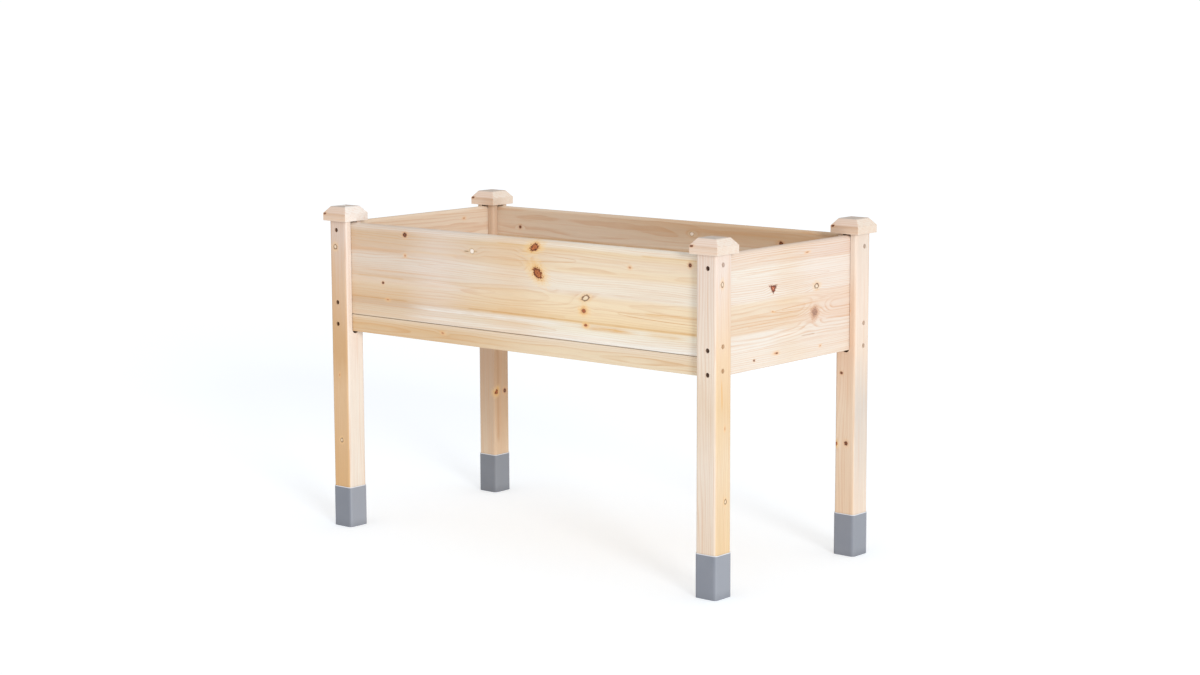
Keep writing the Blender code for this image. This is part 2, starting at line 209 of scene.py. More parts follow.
def linear(red, green, blue):
    """A colour as a painter's 0 to 255 steps, turned into the linear light that shaders use."""
    steps = [step / 255 for step in (red, green, blue)]
    return tuple(s / 12.92 if s <= 0.04045 else ((s + 0.055) / 1.055) ** 2.4 for s in steps)


print("a mid grey of 128 is", round(linear(128, 128, 128)[0], 3), "in linear light")

# %% [markdown]
# ## The studio
# Plain pale floor, plain soft light. The key light is low and comes from the front right, so the
# right-hand faces are the brightest and the front faces are a step darker. A sun lamp with a wide
# disc gives parallel shadows with soft edges. The room round it is a plain gradient: pale at the
# horizon, dimmer overhead, a little brighter on the key's side. The floor glows slightly, as a lit
# table does, so shadows on it stay faint.

# %% Light the studio
KEY_FROM = Vector((0.85, -0.47, 0.245))
key_data = bpy.data.lights.new("key_light", "SUN")
key_data.energy = 1.5
key_data.angle = math.radians(14)
key = bpy.data.objects.new("key_light", key_data)
key.rotation_mode = "QUATERNION"
key.rotation_quaternion = (-KEY_FROM).to_track_quat("-Z", "Y")
bpy.context.scene.collection.objects.link(key)

room = bpy.data.worlds.new("pale_room")
bpy.context.scene.world = room
room.use_nodes = True
air = Bench(room.node_tree)
way = air.add("ShaderNodeTexCoord", give="Generated")
sides = air.add("ShaderNodeSeparateXYZ", sockets={"Vector": way})
up = sides.other("Z")
horizon = air.between(up, 0.03, 0.20, 1.0, 0.0)
overhead = air.between(up, 0.30, 1.0)
lean = sides.other("X") * 0.08 - sides.other("Y") * 0.04
glow = 0.57 + 0.46 * horizon + 0.22 * overhead + lean * (1 - horizon)
shade = air.add("ShaderNodeBackground", sockets={"Color": (1.0, 1.0, 1.0, 1.0), "Strength": glow})
air.add("ShaderNodeOutputWorld", sockets={"Surface": shade})
bpy.context.scene.view_settings.view_transform = "Standard"
bpy.context.scene.view_settings.look = "None"
print("key light", key_data.energy, "world", room.name)

# %% Lay the floor
FLOOR_REACH = 120.0
floor_form = bmesh.new()
bmesh.ops.create_grid(floor_form, x_segments=1, y_segments=1, size=FLOOR_REACH)
floor_mesh = bpy.data.meshes.new("studio_floor")
floor_form.to_mesh(floor_mesh)
floor_form.free()
floor = bpy.data.objects.new("studio_floor", floor_mesh)
bpy.context.scene.collection.objects.link(floor)
floor_paint = bpy.data.materials.new("pale_floor")
floor_paint.use_nodes = True
table = Bench(floor_paint.node_tree)
matt = table.add(
    "ShaderNodeBsdfPrincipled",
    sockets={
        "Base Color": (0.71, 0.755, 0.80, 1.0),
        "Roughness": 0.9,
        "Specular IOR Level": 0.1,
        "Emission Color": (1.0, 1.0, 1.0, 1.0),
        "Emission Strength": 0.44,
    },
)
clear = table.add("ShaderNodeBsdfTransparent")
under = table.add("ShaderNodeNewGeometry", give="Backfacing")
either = table.add("ShaderNodeMixShader", sockets={0: under, 1: matt, 2: clear})
table.add("ShaderNodeOutputMaterial", sockets={"Surface": either})
floor_mesh.materials.append(floor_paint)
print("floor", FLOOR_REACH * 2, "m across, clear from below")

# %% [markdown]
# ## Bare fir
# A board is a slice of a tree, and its pattern comes from the yearly rings it cuts through. The
# ring radius at a point is its distance from the pith, a line that runs along the board somewhere
# outside it. A slow wobble bends the rings into arches, and every knot pushes them aside. Sawing
# that solid pattern with the board's own faces gives plain lines on one face, arches on another
# and curved lines on the end grain, with no image and no seam. All lengths below are millimetres.

# %% Knots
# Each style is a ramp over the distance from the knot's middle: a quarter is its rim, alpha is how
# much of the wood below it hides.
KNOTS = {
    "dark": [
        (0.00, (*linear(166, 102, 56), 1.0)),
        (0.07, (*linear(146, 84, 44), 1.0)),
        (0.15, (*linear(76, 34, 10), 1.0)),
        (0.25, (*linear(94, 44, 16), 0.95)),
        (0.32, (*linear(176, 118, 80), 0.60)),
        (0.45, (*linear(218, 166, 118), 0.35)),
        (0.75, (*linear(232, 190, 142), 0.0)),
    ],
    "red": [
        (0.00, (*linear(112, 44, 16), 1.0)),
        (0.06, (*linear(208, 120, 62), 1.0)),
        (0.10, (*linear(116, 46, 18), 1.0)),
        (0.14, (*linear(210, 124, 62), 1.0)),
        (0.19, (*linear(88, 34, 10), 1.0)),
        (0.24, (*linear(96, 42, 14), 1.0)),
        (0.28, (*linear(188, 116, 54), 0.9)),
        (0.32, (*linear(226, 172, 96), 0.7)),
        (0.48, (*linear(236, 196, 126), 0.4)),
        (0.85, (*linear(242, 206, 146), 0.0)),
    ],
    "ember": [
        (0.00, (*linear(136, 66, 34), 1.0)),
        (0.14, (*linear(176, 98, 54), 1.0)),
        (0.22, (*linear(118, 60, 32), 0.95)),
        (0.30, (*linear(222, 160, 96), 0.8)),
        (0.55, (*linear(238, 192, 126), 0.55)),
        (1.00, (*linear(240, 206, 150), 0.0)),
    ],
    "eye": [
        (0.00, (*linear(232, 212, 184), 0.6)),
        (0.16, (*linear(230, 206, 172), 0.6)),
        (0.21, (*linear(104, 68, 42), 0.92)),
        (0.27, (*linear(128, 88, 58), 0.88)),
        (0.33, (*linear(228, 188, 134), 0.45)),
        (0.65, (*linear(236, 198, 142), 0.0)),
    ],
    "pale": [
        (0.00, (*linear(242, 232, 222), 0.95)),
        (0.20, (*linear(238, 224, 210), 0.95)),
        (0.25, (*linear(156, 122, 84), 0.75)),
        (0.31, (*linear(214, 182, 140), 0.35)),
        (0.50, (*linear(230, 200, 160), 0.0)),
    ],
    "faint": [
        (0.00, (*linear(172, 108, 66), 0.85)),
        (0.14, (*linear(190, 126, 82), 0.75)),
        (0.25, (*linear(226, 176, 122), 0.5)),
        (0.65, (*linear(236, 196, 142), 0.0)),
    ],
    "bark": [
        (0.00, (*linear(224, 168, 138), 1.0)),
        (0.06, (*linear(200, 118, 78), 1.0)),
        (0.12, (*linear(152, 70, 36), 1.0)),
        (0.19, (*linear(92, 38, 22), 1.0)),
        (0.25, (*linear(88, 38, 24), 0.95)),
        (0.30, (*linear(200, 150, 116), 0.5)),
        (0.42, (*linear(226, 190, 156), 0.0)),
    ],
    "blotch": [
        (0.00, (*linear(112, 70, 52), 0.9)),
        (0.05, (*linear(182, 134, 106), 0.8)),
        (0.10, (*linear(120, 78, 60), 0.9)),
        (0.17, (*linear(184, 136, 108), 0.85)),
        (0.26, (*linear(200, 156, 126), 0.7)),
        (0.45, (*linear(222, 186, 154), 0.0)),
    ],
}
SPIKE_DEEP = 5.0          # a spike knot fades over about three times this many millimetres
print("knot styles:", ", ".join(KNOTS))

# %% Timber
class Timber(Bench):
    """A wood material in the making, with its grain along one axis."""

    def __init__(self, name, along, across, depth, seed):
        self.material = bpy.data.materials.new(name)
        self.material.use_nodes = True
        super().__init__(self.material.node_tree)
        self.seed = seed
        place = self.add("ShaderNodeTexCoord", give="Object")
        parts = self.add("ShaderNodeSeparateXYZ", sockets={"Vector": place})
        self.axis = {letter: parts.other(letter) * 1000 for letter in "XYZ"}
        self.along = self.axis[along]
        self.across = self.axis[across]
        self.depth = self.axis[depth]
        self.knots = []
        self.bend = 0.0
        self.rough_edge = 0.7 * self.noise(14, 9, 9) + 0.9 * self.noise(4, 2.6, 2.6, shift=51.0)
        self.flecks = 1.5 * self.noise(3.6, 2.2, 2.2, shift=61.0)

    def noise(self, along, across, depth, detail=2.0, shift=0.0):
        """Smooth noise from -0.5 to 0.5, stretched by these lengths in millimetres."""
        where = self.joined(
            self.along / along + self.seed + shift, self.across / across, self.depth / depth
        )
        cloud = self.add(
            "ShaderNodeTexNoise",
            {"noise_dimensions": "3D"},
            {"Vector": where, "Scale": 1.0, "Detail": detail, "Roughness": 0.55},
        )
        return cloud - 0.5

    def add_knot(
        self, style, along, across, length, width, tilt=0.0, push=1.0, side=False, face=None,
        wedge=False,
    ):
        """A knot with its middle there. With side it is on a face that looks along `across`. With
        face, the place of the face it opens on, it is a short spike knot that soon ends inside.
        With wedge it is cut flat above and runs to a point below, as a branch's crotch does."""
        spot, inward = (self.depth, self.across) if side else (self.across, self.depth)
        flat = self.joined(self.along, spot, 0.0 if face is None else inward - face)
        near = self.add(
            "ShaderNodeMapping",
            {"vector_type": "TEXTURE"},
            {
                "Vector": flat,
                "Location": (along, across, 0.0),
                "Rotation": (0.0, 0.0, math.radians(tilt)),
                "Scale": (length / 2, width / 2, SPIKE_DEEP),
            },
        )
        reach = self.add("ShaderNodeVectorMath", {"operation": "LENGTH"}, {0: near}, "Value")
        if wedge:
            spread = self.add("ShaderNodeSeparateXYZ", sockets={"Vector": near})
            above = spread.other("Y")
            slant = self.sum("ABSOLUTE", spread.other("X")) * 0.8 - above * 0.55
            reach = self.sum("SMOOTH_MAX", above, slant, 0.25)
        # The grain parts before a knot and closes behind it in a long, slim ripple.
        slim = self.add(
            "ShaderNodeVectorMath", {"operation": "MULTIPLY"}, {0: near, 1: (0.4, 0.8, 1.0)}, "Vector"
        )
        ripple = self.add("ShaderNodeVectorMath", {"operation": "LENGTH"}, {0: slim}, "Value")
        self.bend = self.bend + self.between(ripple, 0.2, 2.6, push * width * 0.32, 0.0)
        reach = reach * (1 + self.rough_edge)
        if style in ("red", "bark", "blotch"):
            reach = reach + self.flecks
        self.knots.append((style, reach))

    def rings(self, pith_across, pith_depth, spacing, wobble, phase=0.0):
        """How much late wood, the dark hard edge of a year's growth, there is at a point."""
        a = self.across - pith_across
        d = self.depth - pith_depth
        slow = self.noise(420, 70, 70, detail=1.0, shift=phase)
        quick = self.noise(90, 30, 30, detail=1.0, shift=phase + 3.7)
        radius = (a * a + d * d) ** 0.5 + slow * wobble + quick * wobble * 0.12 + self.bend
        year = radius / spacing + phase
        part = self.sum("FRACT", year)
        dark = self.between(part, 0.45, 0.93) * self.between(part, 0.94, 1.0, 1.0, 0.0)
        return dark

    def finish(
        self, colour, dark, ring_colour, ring_strength, streak_colour, streak_strength, hairs=0.42
    ):
        """Adds rings, streaks, fibres and knots to the plain colour, and closes the material."""
        thick_and_thin = self.between(self.noise(500, 9, 9, detail=2.0, shift=11.3), -0.2, 0.25)
        # The plain tones are what a lit face shows. A little is taken away, most from red and
        # least from blue, to allow for the studio's light and the lines below.
        lift = self.joined(0.945, 0.955, 0.985)
        colour = self.mixed(1.0, colour, lift, "MULTIPLY")
        colour = self.mixed(dark * ring_strength * (0.25 + thick_and_thin), colour, ring_colour)
        streak = self.between(self.noise(300, 7, 7, detail=3.0, shift=21.0), -0.05, 0.32)
        colour = self.mixed(streak * streak_strength, colour, streak_colour)
        hair = self.between(self.noise(210, 1.1, 1.1, detail=3.0, shift=41.0), 0.06, 0.24)
        colour = self.mixed(hair * hairs, colour, streak_colour)
        fibre = self.noise(30, 0.9, 0.9, detail=3.0, shift=31.0)
        bright = 1 + 0.16 * fibre
        colour = self.mixed(1.0, colour, self.joined(bright, bright, bright), "MULTIPLY")
        in_knot = 0.0
        for style, reach in self.knots:
            ramp = self.add(
                "ShaderNodeValToRGB", {"stops": KNOTS[style]}, {"Fac": reach / 4}, "Color"
            )
            colour = self.mixed(ramp.other("Alpha"), colour, ramp)
            in_knot = in_knot + self.between(reach, 0.7, 1.2, 1.0, 0.0)
        gloss = 0.56 + 0.10 * fibre - 0.06 * dark
        height = 0.35 * fibre + 0.20 * dark
        if self.knots:
            gloss = gloss - 0.10 * in_knot
            height = height + 0.5 * in_knot
        bump = self.add(
            "ShaderNodeBump", sockets={"Strength": 0.35, "Distance": 0.0004, "Height": height}
        )
        wood = self.add(
            "ShaderNodeBsdfPrincipled",
            sockets={
                "Base Color": colour,
                "Roughness": gloss,
                "Normal": bump,
                "Specular IOR Level": 0.35,
            },
        )
        self.add("ShaderNodeOutputMaterial", sockets={"Surface": wood})
        return self.material


print("timber is ready")

# %% [markdown]
# ## Shaping helpers
# Most pieces here are a rounded outline carried along a straight line, with its ends eased. So one
# helper draws a rounded outline as a ring of points, and another skins a stack of such rings into a
# closed shape. Real roundings come from the ring, so nothing depends on a bevel finding its way
# round a hole.

# %% Rings and skins
ARC_STEPS = 8


def rounded_outline(half_wide, half_high, rounds):
    """Points round a rectangle, anticlockwise; rounds are the radii at its ++, -+, -- and +- corners."""
    points = []
    for turn, (side_u, side_v, radius) in enumerate(
        zip((1, -1, -1, 1), (1, 1, -1, -1), rounds)
    ):
        for step in range(ARC_STEPS + 1):
            angle = math.pi / 2 * (turn + step / ARC_STEPS)
            points.append(
                (
                    side_u * (half_wide - radius) + radius * math.cos(angle),
                    side_v * (half_high - radius) + radius * math.sin(angle),
                )
            )
    return points


def eased_ends(start, end, ease):
    """Stations along a piece as (place, inset): its ends are rounded by that much."""
    turns = [math.radians(angle) for angle in (0, 30, 60, 90)]
    first = [(start + ease * (1 - math.sin(t)), ease * (1 - math.cos(t))) for t in reversed(turns)]
    last = [(end - ease * (1 - math.sin(t)), ease * (1 - math.cos(t))) for t in turns]
    return first + last


def skinned(name, rings):
    """One closed shape through rings that all have the same number of points."""
    form = bmesh.new()
    loops = [[form.verts.new(point) for point in ring] for ring in rings]
    for lower, upper in zip(loops, loops[1:]):
        for number, corner in enumerate(lower):
            following = (number + 1) % len(lower)
            form.faces.new((corner, lower[following], upper[following], upper[number]))
    form.faces.new(list(reversed(loops[0])))
    form.faces.new(loops[-1])
    bmesh.ops.remove_doubles(form, verts=form.verts, dist=1e-6)
    bmesh.ops.recalc_face_normals(form, faces=form.faces)
    mesh = bpy.data.meshes.new(name)
    form.to_mesh(mesh)
    form.free()
    return mesh


def bar(name, low, high, axis, rounds, ease):
    """A straight board between two corners, its outline rounded and its ends eased."""
    middle = (low + high) / 2
    half = (high - low) / 2
    wide, tall = {"X": ("y", "z"), "Y": ("x", "z"), "Z": ("x", "y")}[axis]
    rings = []
    for place, inset in eased_ends(getattr(low, axis.lower()), getattr(high, axis.lower()), ease):
        outline = rounded_outline(
            getattr(half, wide) - inset,
            getattr(half, tall) - inset,
            [max(radius - inset, 1e-5) for radius in rounds],
        )
        ring = []
        for u, v in outline:
            point = middle.copy()
            setattr(point, axis.lower(), place)
            setattr(point, wide, getattr(middle, wide) + u)
            setattr(point, tall, getattr(middle, tall) + v)
            ring.append(point)
        rings.append(ring)
    return skinned(name, rings)


def put(name, mesh):
    piece = bpy.data.objects.new(name, mesh)
    bpy.context.scene.collection.objects.link(piece)
    return piece


def turned(name, outline, sides=32):
    """A piece turned about Z from (radius, height) points, from the top down."""
    rings = []
    for radius, height in outline:
        ring = []
        for side in range(sides):
            angle = 2 * math.pi * side / sides
            ring.append(Vector((radius * math.cos(angle), radius * math.sin(angle), height)))
        rings.append(ring)
    return skinned(name, rings)


def carve(piece, cutters):
    """Cuts every cutter out of the piece and clears them away."""
    for number, cutter in enumerate(cutters):
        cut = piece.modifiers.new(f"cut_{number}", "BOOLEAN")
        cut.operation = "DIFFERENCE"
        cut.solver = "EXACT"
        cut.object = cutter
    keep_evaluated(piece)
    for cutter in cutters:
        bpy.data.objects.remove(cutter, do_unlink=True)


def keep_evaluated(piece):
    """Turns what the modifiers show into the piece's own plain mesh."""
    shown = piece.evaluated_get(bpy.context.evaluated_depsgraph_get())
    mesh = bpy.data.meshes.new_from_object(shown)
    piece.modifiers.clear()
    piece.data = mesh


def finish_piece(piece, material, nodes, smooth=32.0):
    """Smooths the roundings, gives the finish, and ties the piece to the frame."""
    piece.data.materials.clear()
    piece.data.materials.append(material)
    piece.data.shade_smooth()
    piece.data.set_sharp_from_angle(angle=math.radians(smooth))
    even = piece.modifiers.new("even_shading", "WEIGHTED_NORMAL")
    even.keep_sharp = True
    even.weight = 100
    keep_evaluated(piece)
    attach(piece, "root")
    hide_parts(*nodes)
    print(piece.name, "stands for", len(nodes), "node(s),", len(piece.data.polygons), "faces")


print("arc steps:", ARC_STEPS)

# %% [markdown]
# ## The posts
# Each leg is one length of 54 mm square fir with its long corners rounded. Two stopped grooves with
# round lower ends take the boards, and three counterbored holes in each outer face take the screws.
# The blank is a skinned bar; grooves and holes are cut out with booleans, the same way a router and
# a drill would. The counterbore's mouth flares by a hair. Five or six tones up each face and short
# lists of knots and streaks make the four legs differ. Shade is painted into the rear left leg's
# tones and inside the posts' holes and grooves.

# %% Cutters for the posts
BORE = 5.0 * MILLIMETRE
BORE_DEEP = 9.0 * MILLIMETRE
SHANK_HOLE = 2.3 * MILLIMETRE
FLARE = 0.35 * MILLIMETRE
PAST = 2.0 * MILLIMETRE
groove_wide = 21.0 * MILLIMETRE
groove_deep = 13.0 * MILLIMETRE
rail_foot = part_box("front_bottom_rail")[0].z
groove_round = groove_wide / 2
groove_middle = rail_foot + 4.2 * MILLIMETRE


def groove_cutter(name):
    """A stopped groove seen along -Y: its sides, its top past the post, its round lower end."""
    half = groove_round
    top = post_high.z + PAST
    outline = [(half, top), (-half, top)]
    for step in range(25):
        angle = math.pi * (1 + step / 24)
        outline.append((half * math.cos(angle), groove_middle + half * math.sin(angle)))
    rings = []
    for depth in (-PAST, groove_deep):
        rings.append([Vector((x, post_side / 2 - depth, z)) for x, z in outline])
    return skinned(name, rings)


def screw_bore(name):
    """Counterbore and clearance hole, its mouth at z = 0 and its way in along -Z."""
    outline = [
        (BORE + FLARE, PAST),
        (BORE + FLARE, 0.0),
        (BORE, -FLARE * 1.6),
        (BORE, -BORE_DEEP + 0.0012),
        (BORE - 0.0012, -BORE_DEEP),
        (SHANK_HOLE, -BORE_DEEP - 0.0004),
        (SHANK_HOLE, -post_side + groove_deep - PAST),
    ]
    return turned(name, outline)


# %% Screw places, read off the frame
SCREWS = []
for corner, foot in CORNERS.items():
    for side in ("end", "long"):
        for level_name in ("top", "middle", "bottom"):
            node = f"post_screw_{corner}_{side}_{level_name}"
            low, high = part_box(node)
            middle = (low + high) / 2
            aim = Vector((0, 0, 0))
            if high.x - low.x > high.y - low.y:
                aim.x = math.copysign(1, foot.x)
                face = foot.x + aim.x * post_side / 2
                mouth = Vector((face, middle.y, middle.z))
            else:
                aim.y = math.copysign(1, foot.y)
                face = foot.y + aim.y * post_side / 2
                mouth = Vector((middle.x, face, middle.z))
            head = Vector([h if a > 0 else l for a, h, l in zip(aim, high, low)])
            head = Vector([h if a else m for a, h, m in zip(aim, head, middle)])
            SCREWS.append({"node": node, "corner": corner, "mouth": mouth, "aim": aim, "head": head})
print(len(SCREWS), "post screws, heads at", tuple(round(part, 4) for part in SCREWS[0]["head"]))

# %% Post finishes
# Tones run from the ground up: (height in millimetres, colour of the front, colour of the side).
POST_TONES = {
    "front_left": [
        (100, (211, 170, 119), (228, 217, 201)),
        (330, (216, 180, 138), (231, 220, 205)),
        (400, (206, 165, 118), (232, 219, 204)),
        (470, (207, 167, 122), (233, 218, 202)),
        (590, (214, 182, 150), (235, 218, 202)),
        (690, (214, 191, 173), (236, 220, 205)),
    ],
    "front_right": [
        (100, (229, 209, 186), (226, 197, 153)),
        (280, (234, 218, 199), (229, 206, 172)),
        (400, (230, 209, 184), (226, 196, 153)),
        (520, (236, 219, 199), (232, 204, 169)),
        (690, (230, 211, 194), (231, 215, 201)),
    ],
    "rear_right": [
        (100, (226, 198, 168), (228, 210, 190)),
        (330, (231, 208, 182), (210, 200, 187)),
        (470, (226, 194, 166), (230, 212, 192)),
        (580, (230, 202, 176), (232, 214, 196)),
        (690, (233, 216, 198), (225, 209, 192)),
    ],
    # The rear left leg's tones are darker all the way up: painted shade, as it stands in the trough's
    # shadow.
    "rear_left": [
        (100, (214, 190, 162), (216, 188, 156)),
        (200, (204, 178, 150), (206, 174, 140)),
        (330, (202, 172, 144), (202, 168, 134)),
        (470, (206, 178, 150), (208, 176, 142)),
        (690, (216, 190, 164), (216, 190, 164)),
    ],
}
# Knots: (style, height, across from the post's middle, length, width, tilt, on the side face).
POST_KNOTS = {
    "front_left": [
        ("eye", 665.5, -8.0, 11, 10, 0, False),
        ("faint", 363.0, -1.5, 9, 4, 10, False),
        ("eye", 207.5, 1.5, 10, 8, 0, False),
    ],
    "front_right": [
        ("eye", 664.5, -7.0, 11, 8, 0, True),
        ("faint", 362.0, 3.5, 9, 4, 0, True),
        ("eye", 206.5, 6.0, 10, 8, 0, True),
    ],
    "rear_right": [
        ("dark", 414.5, -10.0, 5, 5, 0, False),
        ("dark", 256.5, 4.5, 8, 7, 0, False),
        ("red", 253.0, -22.0, 8, 6, 0, False),
        ("faint", 556.0, 10.0, 6, 4, 0, False),
    ],
    "rear_left": [
        ("red", 257.0, -19.5, 12, 8, 25, True),
        ("dark", 256.0, 10.0, 9, 8, 0, True),
    ],
}


# Streaks up a post's side face: (from, to, across from the middle, half width, colour, share).
POST_STREAKS = {
    "front_right": [
        (392, 476, -7.0, 4.0, (228, 176, 108), 0.75),
        (70, 250, 5.0, 6.0, (232, 200, 158), 0.4),
    ],
    "rear_left": [(120, 440, -15.0, 9.0, (186, 138, 96), 0.55)],
}


def tone_ramp(timber, share, tones):
    """A ramp over a list of (place, tone), read at the place that share gives."""
    low, high = tones[0][0], tones[-1][0]
    stops = [((place - low) / (high - low), linear(*colour)) for place, colour in tones]
    place = timber.sum("DIVIDE", share - low, high - low)
    return timber.add("ShaderNodeValToRGB", {"stops": stops}, {"Fac": place}, "Color")


def hollow(timber, toward, aside):
    """1 more than a millimetre under the face that `toward` counts to and near its middle line,
    where only a hole's or a groove's wall can be, and 0 everywhere else."""
    face = post_side * 500
    below_face = timber.between(toward, face - 2.2, face - 1.2, 1.0, 0.0)
    return below_face * timber.between(aside, 11, 13, 1.0, 0.0)


def post_wood(corner, seed):
    timber = Timber("fir_post_" + corner, "Z", "X", "Y", seed)
    foot = CORNERS[corner] * 1000
    for style, height, across, length, width, tilt, side in POST_KNOTS[corner]:
        middle = across + (foot.y if side else foot.x)
        face = foot.x + post_side * 500 if side else foot.y - post_side * 500
        timber.add_knot(style, height, middle, length, width, tilt, side=side, face=face)
    uneven = timber.along + 160 * timber.noise(260, 24, 24, shift=5.0)
    tones = POST_TONES[corner]
    front = tone_ramp(timber, uneven, [(height, colour) for height, colour, _ in tones])
    side = tone_ramp(timber, uneven, [(height, colour) for height, _, colour in tones])
    # The side tone belongs to the part of the section that lies nearer the faces along X.
    toward_side = timber.sum("ABSOLUTE", timber.across - foot.x)
    toward_front = timber.sum("ABSOLUTE", timber.depth - foot.y)
    share = timber.between(toward_side - toward_front, -2.5, 2.5)
    colour = timber.mixed(share, front, side)
    for low, high, across, half, tone, strength in POST_STREAKS.get(corner, []):
        drift = foot.y + across + 5.0 * timber.noise(120, 400, 400, shift=across)
        band = timber.between(timber.sum("ABSOLUTE", timber.depth - drift), 0.0, half, strength, 0.0)
        band = band * timber.between(timber.along, low, low + 30)
        band = band * timber.between(timber.along, high - 30, high, 1.0, 0.0)
        colour = timber.mixed(band * share, colour, linear(*tone))
    # Shade is painted inside the holes and grooves cut along Y and in the lower ends of the grooves cut
    # along X: the wood there is darkened towards a near-black brown.
    front_hollow_shade = hollow(timber, toward_front, toward_side)
    side_hollow_shade = hollow(timber, toward_side, toward_front)
    rail_edge = rail_foot * 1000
    side_hollow_shade = side_hollow_shade * timber.between(timber.along, rail_edge + 1, rail_edge + 2, 1.0, 0.0)
    painted_hollow_shade = timber.sum("MAXIMUM", front_hollow_shade, side_hollow_shade) * 0.85
    colour = timber.mixed(painted_hollow_shade, colour, linear(84, 46, 26))
    dark = timber.rings(foot.x - 52, foot.y + 61, 3.1, 17, phase=0.37 * seed)
    return timber.finish(
        colour, dark, linear(196, 142, 96), 0.30, linear(204, 152, 108), 0.30, hairs=0.30
    )


# %% Build the posts
POST_ROUND = 7.0 * MILLIMETRE
for seed, (corner, foot) in enumerate(CORNERS.items(), start=1):
    low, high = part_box("post_" + corner)
    post = put("leg_post_" + corner, bar("post", low, high, "Z", [POST_ROUND] * 4, 0.0006))
    cutters = []
    for inward in (Vector((0, -math.copysign(1, foot.y), 0)), Vector((-math.copysign(1, foot.x), 0, 0))):
        cutter = put("groove", groove_cutter("groove"))
        turn = Vector((0, 1, 0)).rotation_difference(inward).to_matrix().to_4x4()
        if inward.y < -0.5:
            turn = Matrix.Rotation(math.pi, 4, "Z")
        cutter.data.transform(Matrix.Translation(foot) @ turn)
        cutters.append(cutter)
    for screw in SCREWS:
        if screw["corner"] == corner:
            cutter = put("bore", screw_bore("bore"))
            turn = Vector((0, 0, 1)).rotation_difference(screw["aim"]).to_matrix().to_4x4()
            cutter.data.transform(Matrix.Translation(screw["mouth"]) @ turn)
            cutters.append(cutter)
    carve(post, cutters)
    finish_piece(post, post_wood(corner, seed * 7.3), ["post_" + corner])

# %% [markdown]
# ## The post caps
# A cap is a square block with an upright band below, four slopes above and a flat top. Planed
# softwood is never sharp, so every arris is rounded by about a millimetre. The rings climb round
# each arris in small steps. All four caps share one pattern, with a small knot beside the front
# left corner. Their flat tops carry painted shade, and two caps carry painted light and shade of
# their own.

# %% Cap shape and finish
CAP_ARRIS = 0.9 * MILLIMETRE
CAP_BAND = 17.5 * MILLIMETRE
CAP_RUN = 13.0 * MILLIMETRE


def rounded_path(points, radius, steps=4):
    """Points along a bent line whose inner corners are rounded; each point is (inset, height)."""
    path = [points[0]]
    for before, corner, after in zip(points, points[1:], points[2:]):
        before, corner, after = Vector(before), Vector(corner), Vector(after)
        back = (before - corner).normalized()
        ahead = (after - corner).normalized()
        reach = min(radius, (before - corner).length / 2, (after - corner).length / 2)
        for step in range(steps + 1):
            t = step / steps
            start, end = corner + back * reach, corner + ahead * reach
            path.append(tuple(start * (1 - t) ** 2 + corner * 2 * t * (1 - t) + end * t ** 2))
    path.append(points[-1])
    return path


def cap_mesh(low, high):
    middle = (low + high) / 2
    half = (high.x - low.x) / 2
    tall = high.z - low.z
    corners = [(half * 0.5, 0), (0, 0), (0, CAP_BAND), (CAP_RUN, tall), (half * 0.5, tall)]
    rings = []
    for inset, height in rounded_path(corners, CAP_ARRIS):
        radius = CAP_ARRIS * 1.2
        ring = rounded_outline(half - inset, half - inset, [radius] * 4)
        rings.append([Vector((middle.x + u, middle.y + v, low.z + height)) for u, v in ring])
    return skinned("cap", rings)


def cap_wood():
    timber = Timber("fir_cap", "X", "Z", "Y", 3.1)
    # Light and shade are painted on two caps. The front left cap gets painted light on its right side
    # and painted shade in front. The front right cap gets painted light below its flat top.
    in_front = timber.between(timber.axis["Y"], -100, -200)
    left_cap_light_and_shade = timber.between(timber.axis["X"], -400, -500) * in_front
    right_cap_light = timber.between(timber.axis["X"], 400, 500) * in_front
    # The caps' middles are taken out of the coordinates, so that all share one pattern.
    for letter, middle in (("X", post_middle.x * 1000), ("Y", post_middle.y * 1000)):
        spot = timber.axis[letter]
        timber.axis[letter] = spot - timber.sum("SIGN", spot) * abs(middle)
    timber.along, timber.depth = timber.axis["X"], timber.axis["Y"]
    timber.add_knot("dark", -30.5, 743.0, 6.5, 3.6, 12, push=0.6, face=-37.0)
    # The stops at 760 make the flat top darker and greyer in both lists: painted shade on the top.
    tones = [
        (726, (231, 206, 182)),
        (736, (227, 200, 175)),
        (743, (216, 182, 152)),
        (746, (238, 214, 194)),
        (758, (237, 214, 195)),
        (760, (206, 192, 178)),
    ]
    uneven = timber.across + 3.0 * timber.noise(60, 8, 8, shift=2.0)
    front = tone_ramp(timber, uneven, tones)
    side_tones = [
        (726, (226, 209, 190)),
        (743, (225, 209, 190)),
        (746, (234, 220, 203)),
        (758, (234, 220, 203)),
        (760, (214, 199, 184)),
    ]
    side = tone_ramp(timber, uneven, side_tones)
    share = timber.between(
        timber.sum("ABSOLUTE", timber.along) - timber.sum("ABSOLUTE", timber.depth), -1.5, 1.5
    )
    front = timber.mixed(left_cap_light_and_shade * 0.12, front, linear(150, 120, 96))
    side = timber.mixed(left_cap_light_and_shade * 0.9, side, linear(248, 240, 230))
    colour = timber.mixed(share, front, side)
    right_cap_light = right_cap_light * timber.between(timber.across, 757, 759, 1.0, 0.0)
    colour = timber.mixed(right_cap_light * 0.12, colour, linear(252, 246, 238))
    dark = timber.rings(0, 46, 3.4, 4, phase=0.2)
    return timber.finish(
        colour, dark, linear(200, 150, 106), 0.28, linear(214, 166, 128), 0.30
    )


